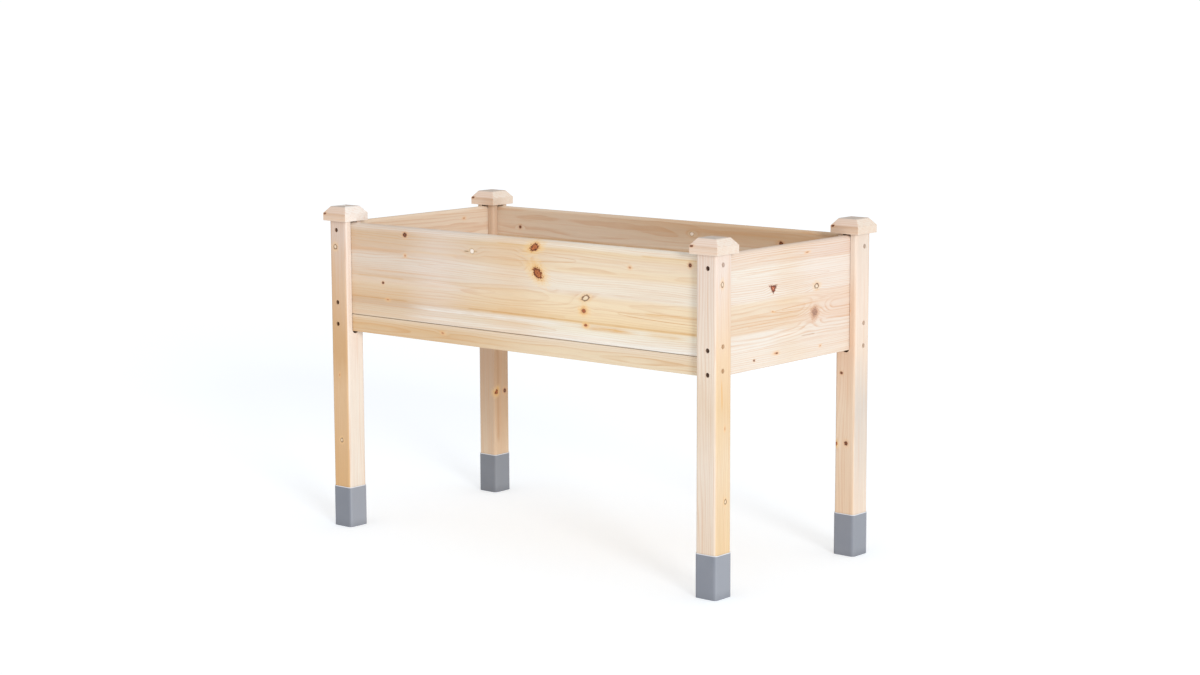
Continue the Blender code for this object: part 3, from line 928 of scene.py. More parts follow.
# %% Build the caps
cap_finish = cap_wood()
SOCKET = 4.3 * MILLIMETRE
for corner in CORNERS:
    low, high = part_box("post_cap_" + corner)
    cap = put("leg_cap_" + corner, cap_mesh(low, high))
    pin_low, pin_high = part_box("cap_dowel_" + corner)
    pin_top = pin_high.z + 0.0003 - low.z
    socket = put("socket", turned("socket", [(SOCKET, pin_top), (SOCKET, -PAST)]))
    socket.data.transform(Matrix.Translation(((low.x + high.x) / 2, (low.y + high.y) / 2, low.z)))
    carve(cap, [socket])
    finish_piece(cap, cap_finish, ["post_cap_" + corner], smooth=40.0)

# %% [markdown]
# ## The foot covers
# Grey moulded covers keep the end grain off wet ground. Each is a square cup with rounded corners
# and a thin wall. It is made as one skin: up the outside, round the rim and down the inside. The
# plastic is satin, with a fine grain from the mould and a slightly darker, dustier lower edge.

# %% Cover plastic
def cover_plastic():
    material = bpy.data.materials.new("grey_cover_plastic")
    material.use_nodes = True
    bench = Bench(material.node_tree)
    place = bench.add("ShaderNodeTexCoord", give="Object")
    spot = bench.add("ShaderNodeSeparateXYZ", sockets={"Vector": place})
    height = spot.other("Z") * 1000
    cloudy = bench.add(
        "ShaderNodeTexNoise", sockets={"Vector": place, "Scale": 22.0, "Detail": 3.0}
    )
    mould = bench.add(
        "ShaderNodeTexNoise", sockets={"Vector": place, "Scale": 1400.0, "Detail": 2.0}
    )
    dust = bench.between(height + 14 * cloudy, 6, 26, 1.0, 0.0)
    # Painted light: the faces that look along X are made paler than the faces along Y.
    off_x = bench.sum("ABSOLUTE", bench.sum("ABSOLUTE", spot.other("X")) - abs(post_middle.x))
    off_y = bench.sum("ABSOLUTE", bench.sum("ABSOLUTE", spot.other("Y")) - abs(post_middle.y))
    x_face_painted_light = bench.between(off_x - off_y, -0.003, 0.003)
    colour = bench.mixed(x_face_painted_light, linear(122, 126, 136), linear(142, 146, 155))
    colour = bench.mixed(cloudy * 0.3, colour, linear(156, 158, 164))
    colour = bench.mixed(dust * 0.45, colour, linear(118, 121, 128))
    # Painted shade: the rear pair's faces along X and the left pair's faces along Y are a little darker.
    rear = bench.between(spot.other("Y"), -0.1, 0.1)
    left = bench.between(spot.other("X"), -0.1, 0.1, 1.0, 0.0)
    shade = 0.12 * rear * x_face_painted_light + 0.11 * left * (1 - x_face_painted_light)
    colour = bench.mixed(shade, colour, linear(40, 40, 36))
    # Painted shade on the rear left cover: it is made darker and warmer still.
    colour = bench.mixed(0.10 * left * rear, colour, linear(70, 68, 52))
    # Painted highlight: the rounded rim is made pale.
    rim = bench.between(height + 0.5 * cloudy, 94.3, 95.0)
    colour = bench.mixed(rim * 0.85, colour, linear(232, 233, 236))
    gloss = 0.44 + 0.08 * cloudy + 0.12 * dust
    bump = bench.add(
        "ShaderNodeBump", sockets={"Strength": 0.22, "Distance": 0.0003, "Height": mould}
    )
    plastic = bench.add(
        "ShaderNodeBsdfPrincipled",
        sockets={
            "Base Color": colour,
            "Roughness": gloss,
            "Normal": bump,
            "Specular IOR Level": 0.45,
        },
    )
    bench.add("ShaderNodeOutputMaterial", sockets={"Surface": plastic})
    return material


# %% Build the foot covers
COVER_WALL = 1.2 * MILLIMETRE
COVER_ROUND = 8.5 * MILLIMETRE
cover_finish = cover_plastic()


def cover_mesh(low, high):
    middle = (low + high) / 2
    half = (high.x - low.x) / 2
    tall = high.z - low.z
    wall = COVER_WALL
    skirt = [(half * 0.6, 0), (0, 0), (0, tall), (wall, tall), (wall, wall), (half * 0.6, wall)]
    rings = []
    for inset, height in rounded_path(skirt, 0.55 * MILLIMETRE):
        radius = max(COVER_ROUND - inset, 0.002)
        ring = rounded_outline(half - inset, half - inset, [radius] * 4)
        rings.append([Vector((middle.x + u, middle.y + v, low.z + height)) for u, v in ring])
    return skinned("cover", rings)


for corner in CORNERS:
    cover = put("leg_foot_cover_" + corner, cover_mesh(*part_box("foot_cover_" + corner)))
    finish_piece(cover, cover_finish, ["foot_cover_" + corner], smooth=50.0)

# %% [markdown]
# ## The sides of the trough
# The long sides are a deep panel above a separate rail; the ends are one deep panel each. A deep
# panel is glued up from staves 30 to 100 mm wide, and the staves show because each is a slice of
# another tree: its tone, its rings and its arches change at the glue line. So the panel's finish
# keeps a small list of staves, and a stepped ramp hands each its own pith.

# %% Panel finish
def pith_by_stave(timber, staves):
    """Where each stave's pith is; staves are (top, pith across, pith depth) from the bottom up."""
    low, high = 440.0, 740.0
    stops = []
    bottom = low
    for top, across, depth in staves:
        stops.append(((bottom - low) / (high - low), (across / 800, depth / 200, 0.0)))
        bottom = top
    ramp = timber.add(
        "ShaderNodeValToRGB", {"stops": stops}, {"Fac": (timber.across - low) / (high - low)}, "Color"
    )
    ramp.socket.node.color_ramp.interpolation = "CONSTANT"
    parts = timber.add("ShaderNodeSeparateColor", sockets={"Color": ramp})
    return parts.other("Red") * 800, parts.other("Green") * 200


def arch(timber, tip_along, tip_up, spread, reach, thick):
    """One ring cut at a slant: a narrow arch with its tip there, opening along reach's sign."""
    ahead = (timber.along - tip_along) * math.copysign(1, reach)
    drift = 5.0 * timber.noise(120, 900, 900, shift=tip_up)
    open_by = spread * timber.sum("MAXIMUM", ahead / 100, 0.0) ** 0.5
    off_line = timber.sum("ABSOLUTE", timber.sum("ABSOLUTE", timber.across - tip_up - drift) - open_by)
    line = timber.between(off_line, 0.0, thick, 1.0, 0.0)
    away = timber.between(ahead, abs(reach) * 0.5, abs(reach), 1.0, 0.0)
    return line * timber.between(ahead, 0.0, 5.0) * away


STREAK = linear(206, 146, 82)


def panel_wood(
    name, along, depth, outer, seed, staves, near, far, span, knots,
    streaks=(), washes=(), arches=(), wedges=(), ring=0.34,
):
    """near and far are the tones up the board at its two ends; span is where they sit."""
    timber = Timber(name, along, "Z", depth, seed)
    for knot in knots:
        timber.add_knot(*knot)
    for knot in wedges:
        timber.add_knot(*knot, wedge=True)
    pith_across, pith_depth = pith_by_stave(timber, staves)
    uneven = timber.across + 5.0 * timber.noise(260, 30, 30, shift=1.0)
    near_tone = tone_ramp(timber, uneven, near)
    far_tone = tone_ramp(timber, uneven, far)
    uneven_along = timber.along + 120 * timber.noise(180, 18, 18, shift=8.0)
    colour = timber.mixed(timber.between(uneven_along, span[0], span[1]), near_tone, far_tone)
    for middle, half, wash, strength in washes:
        patch = timber.between(timber.sum("ABSOLUTE", uneven_along - middle), 0.0, half, strength, 0.0)
        colour = timber.mixed(patch, colour, linear(*wash))
    dark = timber.rings(pith_across, outer + math.copysign(1, outer) * pith_depth, 3.2, 16, 0.1 * seed)
    patchy = 0.8 + 1.4 * timber.noise(40, 4, 4, shift=61.0)
    for start, end, height, thick, strength, tone in streaks:
        drift = height + 3.0 * timber.noise(160, 900, 900, shift=height)
        band = timber.between(timber.sum("ABSOLUTE", timber.across - drift), 0.0, thick, 1.0, 0.0)
        longest_fade = 14 if thick < 6 else 90
        fade = min(longest_fade, (end - start) * 0.4)
        reach = timber.between(timber.along, start, start + fade) * timber.between(
            timber.along, end - fade, end, 1.0, 0.0
        )
        colour = timber.mixed(band * reach * patchy * strength, colour, tone)
    for tip_along, tip_up, spread, reach, thick, strength in arches:
        line = arch(timber, tip_along, tip_up, spread, reach, thick)
        colour = timber.mixed(line * patchy * strength, colour, STREAK)
    return timber.finish(
        colour, dark, linear(198, 138, 80), ring, linear(212, 158, 104), 0.24
    )


# %% [markdown]
# ### Front panel
# Four staves, pale and tan by turns, with an amber line above the lowest. A knot is listed as its
# style, along, up, length, width and tilt, a streak as its start, end, height, thickness, share and
# colour, and an arch as its tip, spread, reach, thickness and share.

# %% Front panel, its knots and tones
FRONT_STAVES = [(551, 470, 60), (619, 600, 48), (662, 690, 70), (740, 664, 52)]
FRONT_KNOTS = [
    ("dark", -340, 706, 9.5, 8, 20),
    ("faint", -340, 658.5, 7, 6, 0),
    ("pale", -130.5, 683.5, 13, 11, 0),
    ("red", 56, 706, 24, 13, 18),
    ("red", 65, 650, 28, 18, -38),
    ("faint", 326, 681.5, 9, 6, 0),
    ("dark", 488, 698.5, 7, 7, 0),
    ("eye", 202, 606, 19, 11, 20),
    ("ember", 197, 578, 11, 9, 0),
    ("dark", -413, 590, 6, 5, 0),
    ("faint", -398, 552, 10, 5, 0),
    ("ember", 202, 547, 8, 5, 0),
]
FRONT_NEAR = [
    (508, (222, 202, 176)),
    (533, (216, 192, 162)),
    (540, (207, 178, 148)),
    (549, (208, 178, 144)),
    (553, (208, 174, 136)),
    (557, (214, 182, 144)),
    (585, (220, 194, 162)),
    (596, (222, 200, 176)),
    (606, (214, 188, 160)),
    (618, (218, 198, 176)),
    (652, (220, 204, 186)),
    (664, (212, 184, 156)),
    (706, (208, 180, 148)),
    (714, (216, 198, 178)),
    (724, (219, 204, 188)),
]
FRONT_FAR = [
    (508, (241, 234, 222)),
    (534, (240, 230, 208)),
    (547, (238, 226, 202)),
    (553, (236, 208, 162)),
    (570, (241, 217, 178)),
    (606, (239, 218, 184)),
    (617, (238, 226, 206)),
    (652, (239, 225, 203)),
    (662, (237, 216, 182)),
    (690, (233, 213, 186)),
    (706, (231, 206, 168)),
    (713, (237, 224, 202)),
    (724, (237, 227, 210)),
]
FRONT_STREAKS = [
    (-350, 170, 542, 9.0, 0.75, linear(240, 234, 222)),
    (-350, 190, 520, 9.0, 0.45, linear(242, 236, 222)),
    (140, 330, 520, 9.0, 0.85, linear(246, 240, 226)),
    (172, 360, 542, 9.0, 0.95, linear(224, 174, 106)),
    (350, 500, 542, 9.0, 0.75, linear(228, 194, 146)),
    (-520, -330, 553.5, 2.2, 0.7, linear(200, 150, 96)),
    (-150, 120, 553.5, 2.2, 0.7, linear(200, 150, 96)),
    (-80, 510, 553, 4.0, 0.65, linear(212, 162, 100)),
    (-60, 60, 708, 3.0, 0.6, linear(212, 168, 106)),
    (350, 520, 708, 3.0, 0.6, linear(220, 178, 120)),
    (-330, -170, 670, 5.0, 0.5, linear(222, 186, 140)),
    (360, 520, 586, 5.0, 0.5, linear(230, 190, 132)),
    (180, 330, 690, 4.0, 0.5, linear(226, 190, 142)),
    (-158, -136, 682.5, 2.4, 1.0, linear(140, 108, 66)),
    (-127, -112, 683.5, 2.0, 0.9, linear(150, 116, 74)),
    (-500, -340, 604, 3.0, 0.5, linear(208, 166, 118)),
    (-330, -160, 604, 7.0, 0.5, linear(234, 220, 206)),
    (-60, 150, 560, 5.0, 0.35, linear(222, 176, 122)),
]
FRONT_WASHES = [
    (-240, 130, (232, 220, 210), 0.36),
    (-10, 130, (222, 180, 128), 0.30),
]
FRONT_ARCHES = [
    (178, 684, 8.0, -260, 0.9, 0.75),
    (290, 581, 6.0, 280, 0.9, 0.85),
    (314, 579, 5.0, 240, 0.7, 0.6),
    (-60, 596, 7.0, -260, 0.8, 0.5),
    (-300, 640, 6.0, 240, 0.7, 0.45),
    (120, 528, 5.0, -300, 0.8, 0.5),
]
front_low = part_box("front_panel")[0]
front_finish = panel_wood(
    "fir_front_panel", "X", "Y", front_low.y * 1000, 2.0,
    FRONT_STAVES, FRONT_NEAR, FRONT_FAR, (-400, 250), FRONT_KNOTS,
    FRONT_STREAKS, FRONT_WASHES, FRONT_ARCHES, ring=0.28,
)

# %% Right end panel, its knots and tones
END_STAVES = [(511, 420, 60), (549, 560, 66), (614, 583, 40), (686, 720, 58), (740, 640, 60)]
END_KNOTS = [
    ("eye", 100, 624, 15, 11, 0),
    ("blotch", 93, 567, 26, 25, 20),
    ("faint", 64, 701, 14, 4, 6),
    ("faint", -48, 494.5, 15, 5, 0),
    ("dark", -45, 494.0, 6, 2.6, 0),
    ("dark", -126, 488, 5, 4, 0),
    ("faint", 115, 491, 7, 4, 0),
    ("faint", -60, 585, 8, 3, -10),
]
END_WEDGES = [("bark", -59, 635.0, 13.0, 11.6, 0)]
END_TONES = [
    (470, (232, 221, 205)),
    (508, (231, 220, 204)),
    (514, (231, 222, 208)),
    (543, (229, 219, 204)),
    (550, (225, 204, 178)),
    (575, (224, 203, 176)),
    (610, (228, 211, 186)),
    (616, (230, 219, 204)),
    (650, (230, 219, 204)),
    (682, (231, 223, 208)),
    (688, (226, 209, 190)),
    (724, (228, 210, 192)),
]
END_FAR_TONES = [
    (470, (229, 213, 194)),
    (508, (228, 213, 196)),
    (514, (228, 214, 198)),
    (543, (227, 213, 197)),
    (550, (226, 206, 188)),
    (575, (226, 205, 186)),
    (608, (227, 205, 184)),
    (616, (229, 215, 200)),
    (650, (230, 217, 203)),
    (683, (230, 217, 203)),
    (689, (223, 203, 188)),
    (724, (224, 205, 188)),
]
END_STREAKS = [
    (-70, 60, 601, 9.0, 0.5, linear(226, 198, 160)),
    (-70, 60, 571, 8.0, 0.5, linear(220, 188, 148)),
    (-70, 60, 531, 9.0, 0.5, linear(244, 234, 220)),
    (40, 100, 521, 1.5, 0.95, linear(176, 122, 74)),
    (96, 228, 521, 0.9, 0.5, STREAK),
    (120, 150, 565, 0.7, 0.6, linear(176, 150, 116)),
]
END_WASHES = [(0, 90, (222, 196, 160), 0.26)]
END_ARCHES = [
    (-58, 584, 6.0, 220, 0.9, 0.85),
    (-30, 585, 4.0, 180, 0.7, 0.7),
    (-150, 560, 4.0, 300, 0.8, 0.6),
    (-190, 668, 5.0, 300, 0.7, 0.5),
    (190, 600, 5.0, -200, 0.8, 0.5),
    (-120, 700, 6.0, 240, 0.8, 0.5),
    (150, 652, 6.0, -240, 0.7, 0.45),
    (60, 540, 5.0, -200, 0.7, 0.45),
]
right_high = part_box("right_end_panel")[1]
end_finish = panel_wood(
    "fir_right_end_panel", "Y", "X", right_high.x * 1000, 5.0,
    END_STAVES, END_TONES, END_FAR_TONES, (-130, 170), END_KNOTS,
    END_STREAKS, END_WASHES, END_ARCHES, END_WEDGES, ring=0.42,
)

# %% [markdown]
# ### The other panels
# The rear and left panels reuse the stave idea with piths, tones and knots of their own. Nothing is
# mirrored.

# %% Rear and left panels
rear_finish = panel_wood(
    "fir_rear_panel", "X", "Y", -front_low.y * 1000, 8.0,
    [(543, 500, 52), (601, 560, 64), (655, 640, 44), (740, 690, 60)],
    [(508, (226, 202, 172)), (540, (220, 190, 156)), (546, (232, 212, 188)), (600, (228, 206, 180)),
     (604, (214, 180, 142)), (652, (220, 190, 154)), (658, (232, 214, 192)), (724, (226, 204, 178))],
    [(508, (232, 210, 182)), (540, (228, 202, 170)), (546, (236, 218, 196)), (600, (232, 212, 186)),
     (604, (222, 190, 152)), (652, (226, 196, 160)), (658, (236, 220, 198)), (700, (214, 182, 146)),
     (724, (222, 192, 158))],
    (-300, 260),
    [("dark", 352, 690, 9, 8, 0), ("red", -92, 628, 22, 14, -20), ("eye", 236, 571, 13, 10, 0),
     ("faint", -318, 590, 9, 6, 0), ("dark", -441, 676, 7, 6, 0), ("pale", 96, 694, 11, 9, 0)],
    [(-440, -120, 602, 3.0, 0.5, STREAK)],
)
left_finish = panel_wood(
    "fir_left_end_panel", "Y", "X", -right_high.x * 1000, 11.0,
    [(502, 430, 56), (561, 520, 48), (628, 600, 62), (740, 676, 50)],
    [(470, (230, 204, 174)), (500, (228, 200, 168)), (506, (234, 216, 194)), (558, (230, 212, 188)),
     (564, (218, 184, 146)), (625, (224, 194, 158)), (631, (234, 216, 194)), (724, (230, 208, 182))],
    [(470, (232, 210, 184)), (500, (230, 206, 178)), (506, (236, 220, 200)), (558, (234, 216, 194)),
     (564, (224, 194, 158)), (625, (228, 200, 168)), (631, (236, 220, 200)), (724, (232, 212, 188))],
    (-150, 150),
    [("red", 88, 594, 18, 13, 15), ("dark", -102, 668, 8, 7, 0), ("eye", -36, 531, 11, 9, 0),
     ("faint", 140, 700, 9, 5, 0)],
)

# %% Rail finish
RAIL_NEAR = [
    (468, (216, 186, 148)),
    (488, (214, 180, 136)),
    (500, (220, 192, 156)),
    (508, (226, 206, 180)),
]
RAIL_FAR = [
    (468, (232, 212, 180)),
    (488, (230, 208, 174)),
    (500, (230, 210, 182)),
    (508, (234, 218, 194)),
]


def rail_wood(name, outer, seed, knots):
    timber = Timber(name, "X", "Z", "Y", seed)
    for knot in knots:
        timber.add_knot(*knot)
    uneven = timber.across + 4.0 * timber.noise(200, 18, 18, shift=1.0)
    near = tone_ramp(timber, uneven, RAIL_NEAR)
    far = tone_ramp(timber, uneven, RAIL_FAR)
    colour = timber.mixed(timber.between(timber.along, -260, 160), near, far)
    dark = timber.rings(484, outer * 1.1, 2.3, 13, phase=0.1 * seed)
    return timber.finish(
        colour, dark, linear(198, 146, 90), 0.50, linear(210, 160, 108), 0.22
    )


front_rail_finish = rail_wood(
    "fir_front_rail", front_low.y * 1000, 13.0, [("faint", -225, 490, 10, 5, -10)]
)
rear_rail_finish = rail_wood("fir_rear_rail", -front_low.y * 1000, 17.0, [("dark", 180, 492, 7, 6, 0)])

# %% [markdown]
# ### Cutting the boards
# A panel's top edge is fully rounded and its bottom edge only eased, so the outline takes four
# separate radii. The ends hide in the posts' grooves. Pilot holes let the screws in.

# %% Build the boards
TOP_ROUND = 8.0 * MILLIMETRE
EASED = 1.6 * MILLIMETRE
PILOT = 2.3 * MILLIMETRE
BOARDS = [
    ("front_side_board", "front_panel", "X", TOP_ROUND, front_finish),
    ("rear_side_board", "rear_panel", "X", TOP_ROUND, rear_finish),
    ("front_rail_board", "front_bottom_rail", "X", EASED, front_rail_finish),
    ("rear_rail_board", "rear_bottom_rail", "X", EASED, rear_rail_finish),
    ("right_end_board", "right_end_panel", "Y", TOP_ROUND, end_finish),
    ("left_end_board", "left_end_panel", "Y", TOP_ROUND, left_finish),
]
SCREW_REACH = 60.0 * MILLIMETRE
for name, node, axis, top_round, finish in BOARDS:
    low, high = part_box(node)
    rounds = [top_round, top_round, EASED, EASED]
    board = put(name, bar("board", low, high, axis, rounds, 0.0008))
    cutters = []
    for screw in SCREWS:
        tip = screw["head"] - screw["aim"] * SCREW_REACH
        inside = all(l < part < h for l, part, h in zip(low, tip, high))
        if inside:
            pilot = put("pilot", turned("pilot", [(PILOT, 0.0), (PILOT, -SCREW_REACH - 0.001)], 16))
            turn = Vector((0, 0, 1)).rotation_difference(screw["aim"]).to_matrix().to_4x4()
            pilot.data.transform(Matrix.Translation(screw["head"]) @ turn)
            cutters.append(pilot)
    if cutters:
        carve(board, cutters)
    finish_piece(board, finish, [node])

# %% [markdown]
# ## Trees of geometry nodes
# Slats, screws and pins repeat by a rule, so a Geometry Nodes tree makes them: one shape, a set of
# places, and Instance on Points. The tree gets its sizes through named inputs, so a maker can
# change a pitch or a length without touching the nodes. Its result is then made a plain mesh.

# %% A tree as a workbench
class Shape(Bench):
    """A Geometry Nodes tree with named inputs."""

    SOCKETS = {float: "NodeSocketFloat", int: "NodeSocketInt", bpy.types.Material: "NodeSocketMaterial"}

    def __init__(self, name, inputs):
        tree = bpy.data.node_groups.new(name, "GeometryNodeTree")
        super().__init__(tree)
        sides = tree.interface
        sides.new_socket("Geometry", in_out="INPUT", socket_type="NodeSocketGeometry")
        sides.new_socket("Geometry", in_out="OUTPUT", socket_type="NodeSocketGeometry")
        self.inputs = inputs
        self.keys = {}
        for label, value in inputs.items():
            kind = next(socket for made, socket in self.SOCKETS.items() if isinstance(value, made))
            self.keys[label] = sides.new_socket(label, in_out="INPUT", socket_type=kind).identifier
        self.given = self.add("NodeGroupInput")

    def input(self, label):
        return self.given.other(label)

    def make(self, name, points, result):
        """Closes the tree and returns what it makes from the points, as a plain mesh object."""
        real = self.add("GeometryNodeRealizeInstances", sockets={0: result})
        painted = self.add(
            "GeometryNodeSetMaterial", sockets={"Geometry": real, "Material": self.input("Material")}
        )
        self.add("NodeGroupOutput", sockets={"Geometry": painted})
        mesh = bpy.data.meshes.new(name)
        mesh.from_pydata([point for point, _ in points], [], [])
        aims = mesh.attributes.new("aim", "FLOAT_VECTOR", "POINT")
        aims.data.foreach_set("vector", [part for _, aim in points for part in aim])
        piece = put(name, mesh)
        maker = piece.modifiers.new("maker", "NODES")
        maker.node_group = self.tree
        for label, value in self.inputs.items():
            maker[self.keys[label]] = value
        keep_evaluated(piece)
        return piece

    def stood_on_points(self, shape, seed_turn=None):
        """The shape at every point, its +Z along that point's aim."""
        aim = self.add(
            "GeometryNodeInputNamedAttribute", {"data_type": "FLOAT_VECTOR"}, {"Name": "aim"}
        )
        turn = self.add(
            "FunctionNodeAlignRotationToVector", {"axis": "Z"}, {"Vector": aim}
        )
        if seed_turn is not None:
            spin = self.add(
                "FunctionNodeRandomValue",
                {"data_type": "FLOAT"},
                {"Min": 0.0, "Max": math.tau, "Seed": seed_turn},
            )
            twist = self.add(
                "FunctionNodeAxisAngleToRotation", sockets={"Axis": (0, 0, 1), "Angle": spin}
            )
            turn = self.add(
                "FunctionNodeRotateRotation",
                {"rotation_space": "LOCAL"},
                {"Rotation": turn, "Rotate By": twist},
            )
        return self.add(
            "GeometryNodeInstanceOnPoints",
            sockets={"Points": self.input("Geometry"), "Instance": shape, "Rotation": turn},
        )


print("geometry trees are ready")

# %% [markdown]
# ## Screws
# The screws are made as yellow zinc-plated wood screws: a countersunk head with a cross recess, a
# plain neck and a thread down to the point. A lathe shape is a straight curve whose radius changes
# along it; the thread is a spiral with a small three-sided outline. Every screw stops at its own
# angle, as driven screws do, so a seeded random turn sets the recess.

# %% Zinc
def zinc():
    material = bpy.data.materials.new("zinc_plated_steel")
    material.use_nodes = True
    bench = Bench(material.node_tree)
    place = bench.add("ShaderNodeTexCoord", give="Object")
    bloom = bench.add("ShaderNodeTexNoise", sockets={"Vector": place, "Scale": 900.0, "Detail": 3.0})
    colour = bench.mixed(bloom, linear(112, 92, 62), linear(144, 122, 88))
    # Painted shade: the heads that look along Y are made darker and browner.
    facing = bench.add("ShaderNodeTexCoord", give="Normal")
    facing = bench.add("ShaderNodeSeparateXYZ", sockets={"Vector": facing})
    painted_head_shade = bench.between(bench.sum("ABSOLUTE", facing.other("Y")), 0.5, 0.9)
    colour = bench.mixed(painted_head_shade * 0.8, colour, linear(58, 36, 22))
    bump = bench.add(
        "ShaderNodeBump", sockets={"Strength": 0.15, "Distance": 0.0001, "Height": bloom}
    )
    steel = bench.add(
        "ShaderNodeBsdfPrincipled",
        sockets={
            "Base Color": colour,
            "Metallic": 1.0,
            "Roughness": 0.38 + 0.18 * bloom,
            "Normal": bump,
        },
    )
    bench.add("ShaderNodeOutputMaterial", sockets={"Surface": steel})
    return material


zinc_finish = zinc()


# %% The screw tree
def wood_screws(name, points, length, shank, head, head_tall, seed):
    """Screws with their heads' tops at the points and their heads looking along each aim."""
    shape = Shape(
        name,
        {
            "Length": length,
            "Shank Radius": shank,
            "Head Radius": head,
            "Head Height": head_tall,
            "Thread Pitch": shank * 1.15,
            "Turn Seed": seed,
            "Material": zinc_finish,
        },
    )
    reach = shape.input("Length")
    core = shape.input("Shank Radius") * 0.72
    line = shape.add(
        "GeometryNodeCurvePrimitiveLine",
        {"mode": "POINTS"},
        {"Start": (0, 0, 0), "End": shape.joined(0.0, 0.0, 0.0 - reach)},
        "Curve",
    )
    even = shape.add("GeometryNodeResampleCurve", sockets={"Curve": line, "Count": 140}, give="Curve")
    spot = shape.add("GeometryNodeInputPosition")
    down = 0.0 - shape.add("ShaderNodeSeparateXYZ", sockets={0: spot}).other("Z")
    # The head is a cone under a thin rim; the point tapers over four shank radii.
    cone = 1 - down / shape.input("Head Height")
    flare = shape.sum("MINIMUM", shape.sum("MAXIMUM", cone * 1.12, 0.0), 1.0)
    tip = shape.sum("MINIMUM", (reach - down) / (shape.input("Shank Radius") * 4), 1.0)
    radius = core * tip + (shape.input("Head Radius") - core) * flare
    lathe = shape.add("GeometryNodeSetCurveRadius", sockets={"Curve": even, "Radius": radius})
    round_outline = shape.add(
        "GeometryNodeCurvePrimitiveCircle", sockets={"Resolution": 28, "Radius": 1.0}, give="Curve"
    )
    body = shape.add(
        "GeometryNodeCurveToMesh",
        sockets={
            "Curve": lathe,
            "Profile Curve": round_outline,
            "Fill Caps": True,
            "Scale": shape.add("GeometryNodeInputRadius"),
        },
    )
    arm_wide = shape.input("Head Radius") * 0.26
    arm_long = shape.input("Head Radius") * 1.05
    deep = shape.input("Head Height") * 1.1
    arms = []
    for wide, long in ((arm_wide, arm_long), (arm_long, arm_wide)):
        arms.append(
            shape.add(
                "GeometryNodeMeshCube", sockets={"Size": shape.joined(wide, long, deep)}, give="Mesh"
            )
        )
    cross = shape.add("GeometryNodeJoinGeometry", sockets={"Geometry": arms})
    recessed = shape.add(
        "GeometryNodeMeshBoolean",
        {"operation": "DIFFERENCE", "solver": "EXACT"},
        {"Mesh 1": body, "Mesh 2": [cross]},
        "Mesh",
    )
    thread_long = reach * 0.62
    helix = shape.add(
        "GeometryNodeCurveSpiral",
        sockets={
            "Resolution": 14,
            "Rotations": thread_long / shape.input("Thread Pitch"),
            "Start Radius": core * 0.55,
            "End Radius": core * 0.98,
            "Height": thread_long,
        },
        give="Curve",
    )
    lowered = shape.add(
        "GeometryNodeTransform",
        sockets={"Geometry": helix, "Translation": shape.joined(0.0, 0.0, core * 2.0 - reach)},
    )
    ridge_outline = shape.add(
        "GeometryNodeCurvePrimitiveCircle",
        sockets={"Resolution": 3, "Radius": shape.input("Shank Radius") * 0.26},
        give="Curve",
    )
    thread = shape.add(
        "GeometryNodeCurveToMesh",
        sockets={"Curve": lowered, "Profile Curve": ridge_outline, "Fill Caps": True},
    )
    screw = shape.add("GeometryNodeJoinGeometry", sockets={"Geometry": [recessed, thread]})
    stood = shape.stood_on_points(screw, shape.input("Turn Seed"))
    return shape.make(name, points, stood)


# %% Drive the post screws
post_screw_places = [(screw["head"], screw["aim"]) for screw in SCREWS]
post_screws = wood_screws(
    "post_screws", post_screw_places, SCREW_REACH, 2.0 * MILLIMETRE, 4.2 * MILLIMETRE,
    2.6 * MILLIMETRE, seed=4,
)
finish_piece(
    post_screws, zinc_finish, [screw["node"] for screw in SCREWS], smooth=38.0
)

# %% [markdown]
# ## The floor of the trough
# Ten slats lie across the trough on two cleats, with narrow gaps between them so that water
# drains. The outermost two are notched round the posts. The tree lays one slat at every place
# along a row and then cuts the four notches in one go, so the pitch and the notch stay one number
# each. The slats' edges are only just broken.

# %% Slat wood
def slat_wood(name, along, across, seed, low, high):
    """Plainer and browner stock for the floor, with no knots."""
    timber = Timber(name, along, across, "Z", seed)
    pitch = (high - low) / 10
    board = timber.sum("FLOOR", (timber.across - low) / pitch)
    tone = timber.add(
        "ShaderNodeTexWhiteNoise", {"noise_dimensions": "1D"}, {"W": board * 3.17 + seed}, "Value"
    )
    colour = timber.mixed(tone, linear(226, 202, 170), linear(212, 178, 136))
    dark = timber.rings(tone * 90 + 60 + low, tone * 40 + 440, 3.6, 18, phase=0.1 * seed)
    return timber.finish(
        colour, dark, linear(188, 136, 88), 0.45, linear(198, 150, 104), 0.35
    )


slat_names = sorted(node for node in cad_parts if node.startswith("floor_slat_"))
slat_boxes = [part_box(node) for node in slat_names]
slat_low, slat_high = slat_boxes[1]
row_low, row_high = slat_boxes[0][0], slat_boxes[-1][1]
slat_finish = slat_wood("fir_floor_slats", "Y", "X", 23.0, row_low.x * 1000, row_high.x * 1000)

# %% The slat tree
slat_pitch = (slat_boxes[2][0].x + slat_boxes[2][1].x - slat_low.x - slat_high.x) / 2
notch = post_side + 2 * 1.5 * MILLIMETRE
floor_shape = Shape(
    "floor_slats",
    {
        "Count": len(slat_names),
        "Pitch": slat_pitch,
        "Width": slat_high.x - slat_low.x,
        "Length": slat_high.y - slat_low.y,
        "Thickness": slat_high.z - slat_low.z,
        "Broken Edge": 1.0 * MILLIMETRE,
        "Notch Side": notch,
        "Post Spacing X": 2 * abs(post_middle.x),
        "Post Spacing Y": 2 * abs(post_middle.y),
        "Material": slat_finish,
    },
)
section = floor_shape.add(
    "GeometryNodeCurvePrimitiveQuadrilateral",
    {"mode": "RECTANGLE"},
    {"Width": floor_shape.input("Width"), "Height": floor_shape.input("Thickness")},
)
broken = floor_shape.add(
    "GeometryNodeFilletCurve",
    {"mode": "POLY"},
    {"Curve": section, "Count": 3, "Radius": floor_shape.input("Broken Edge")},
)
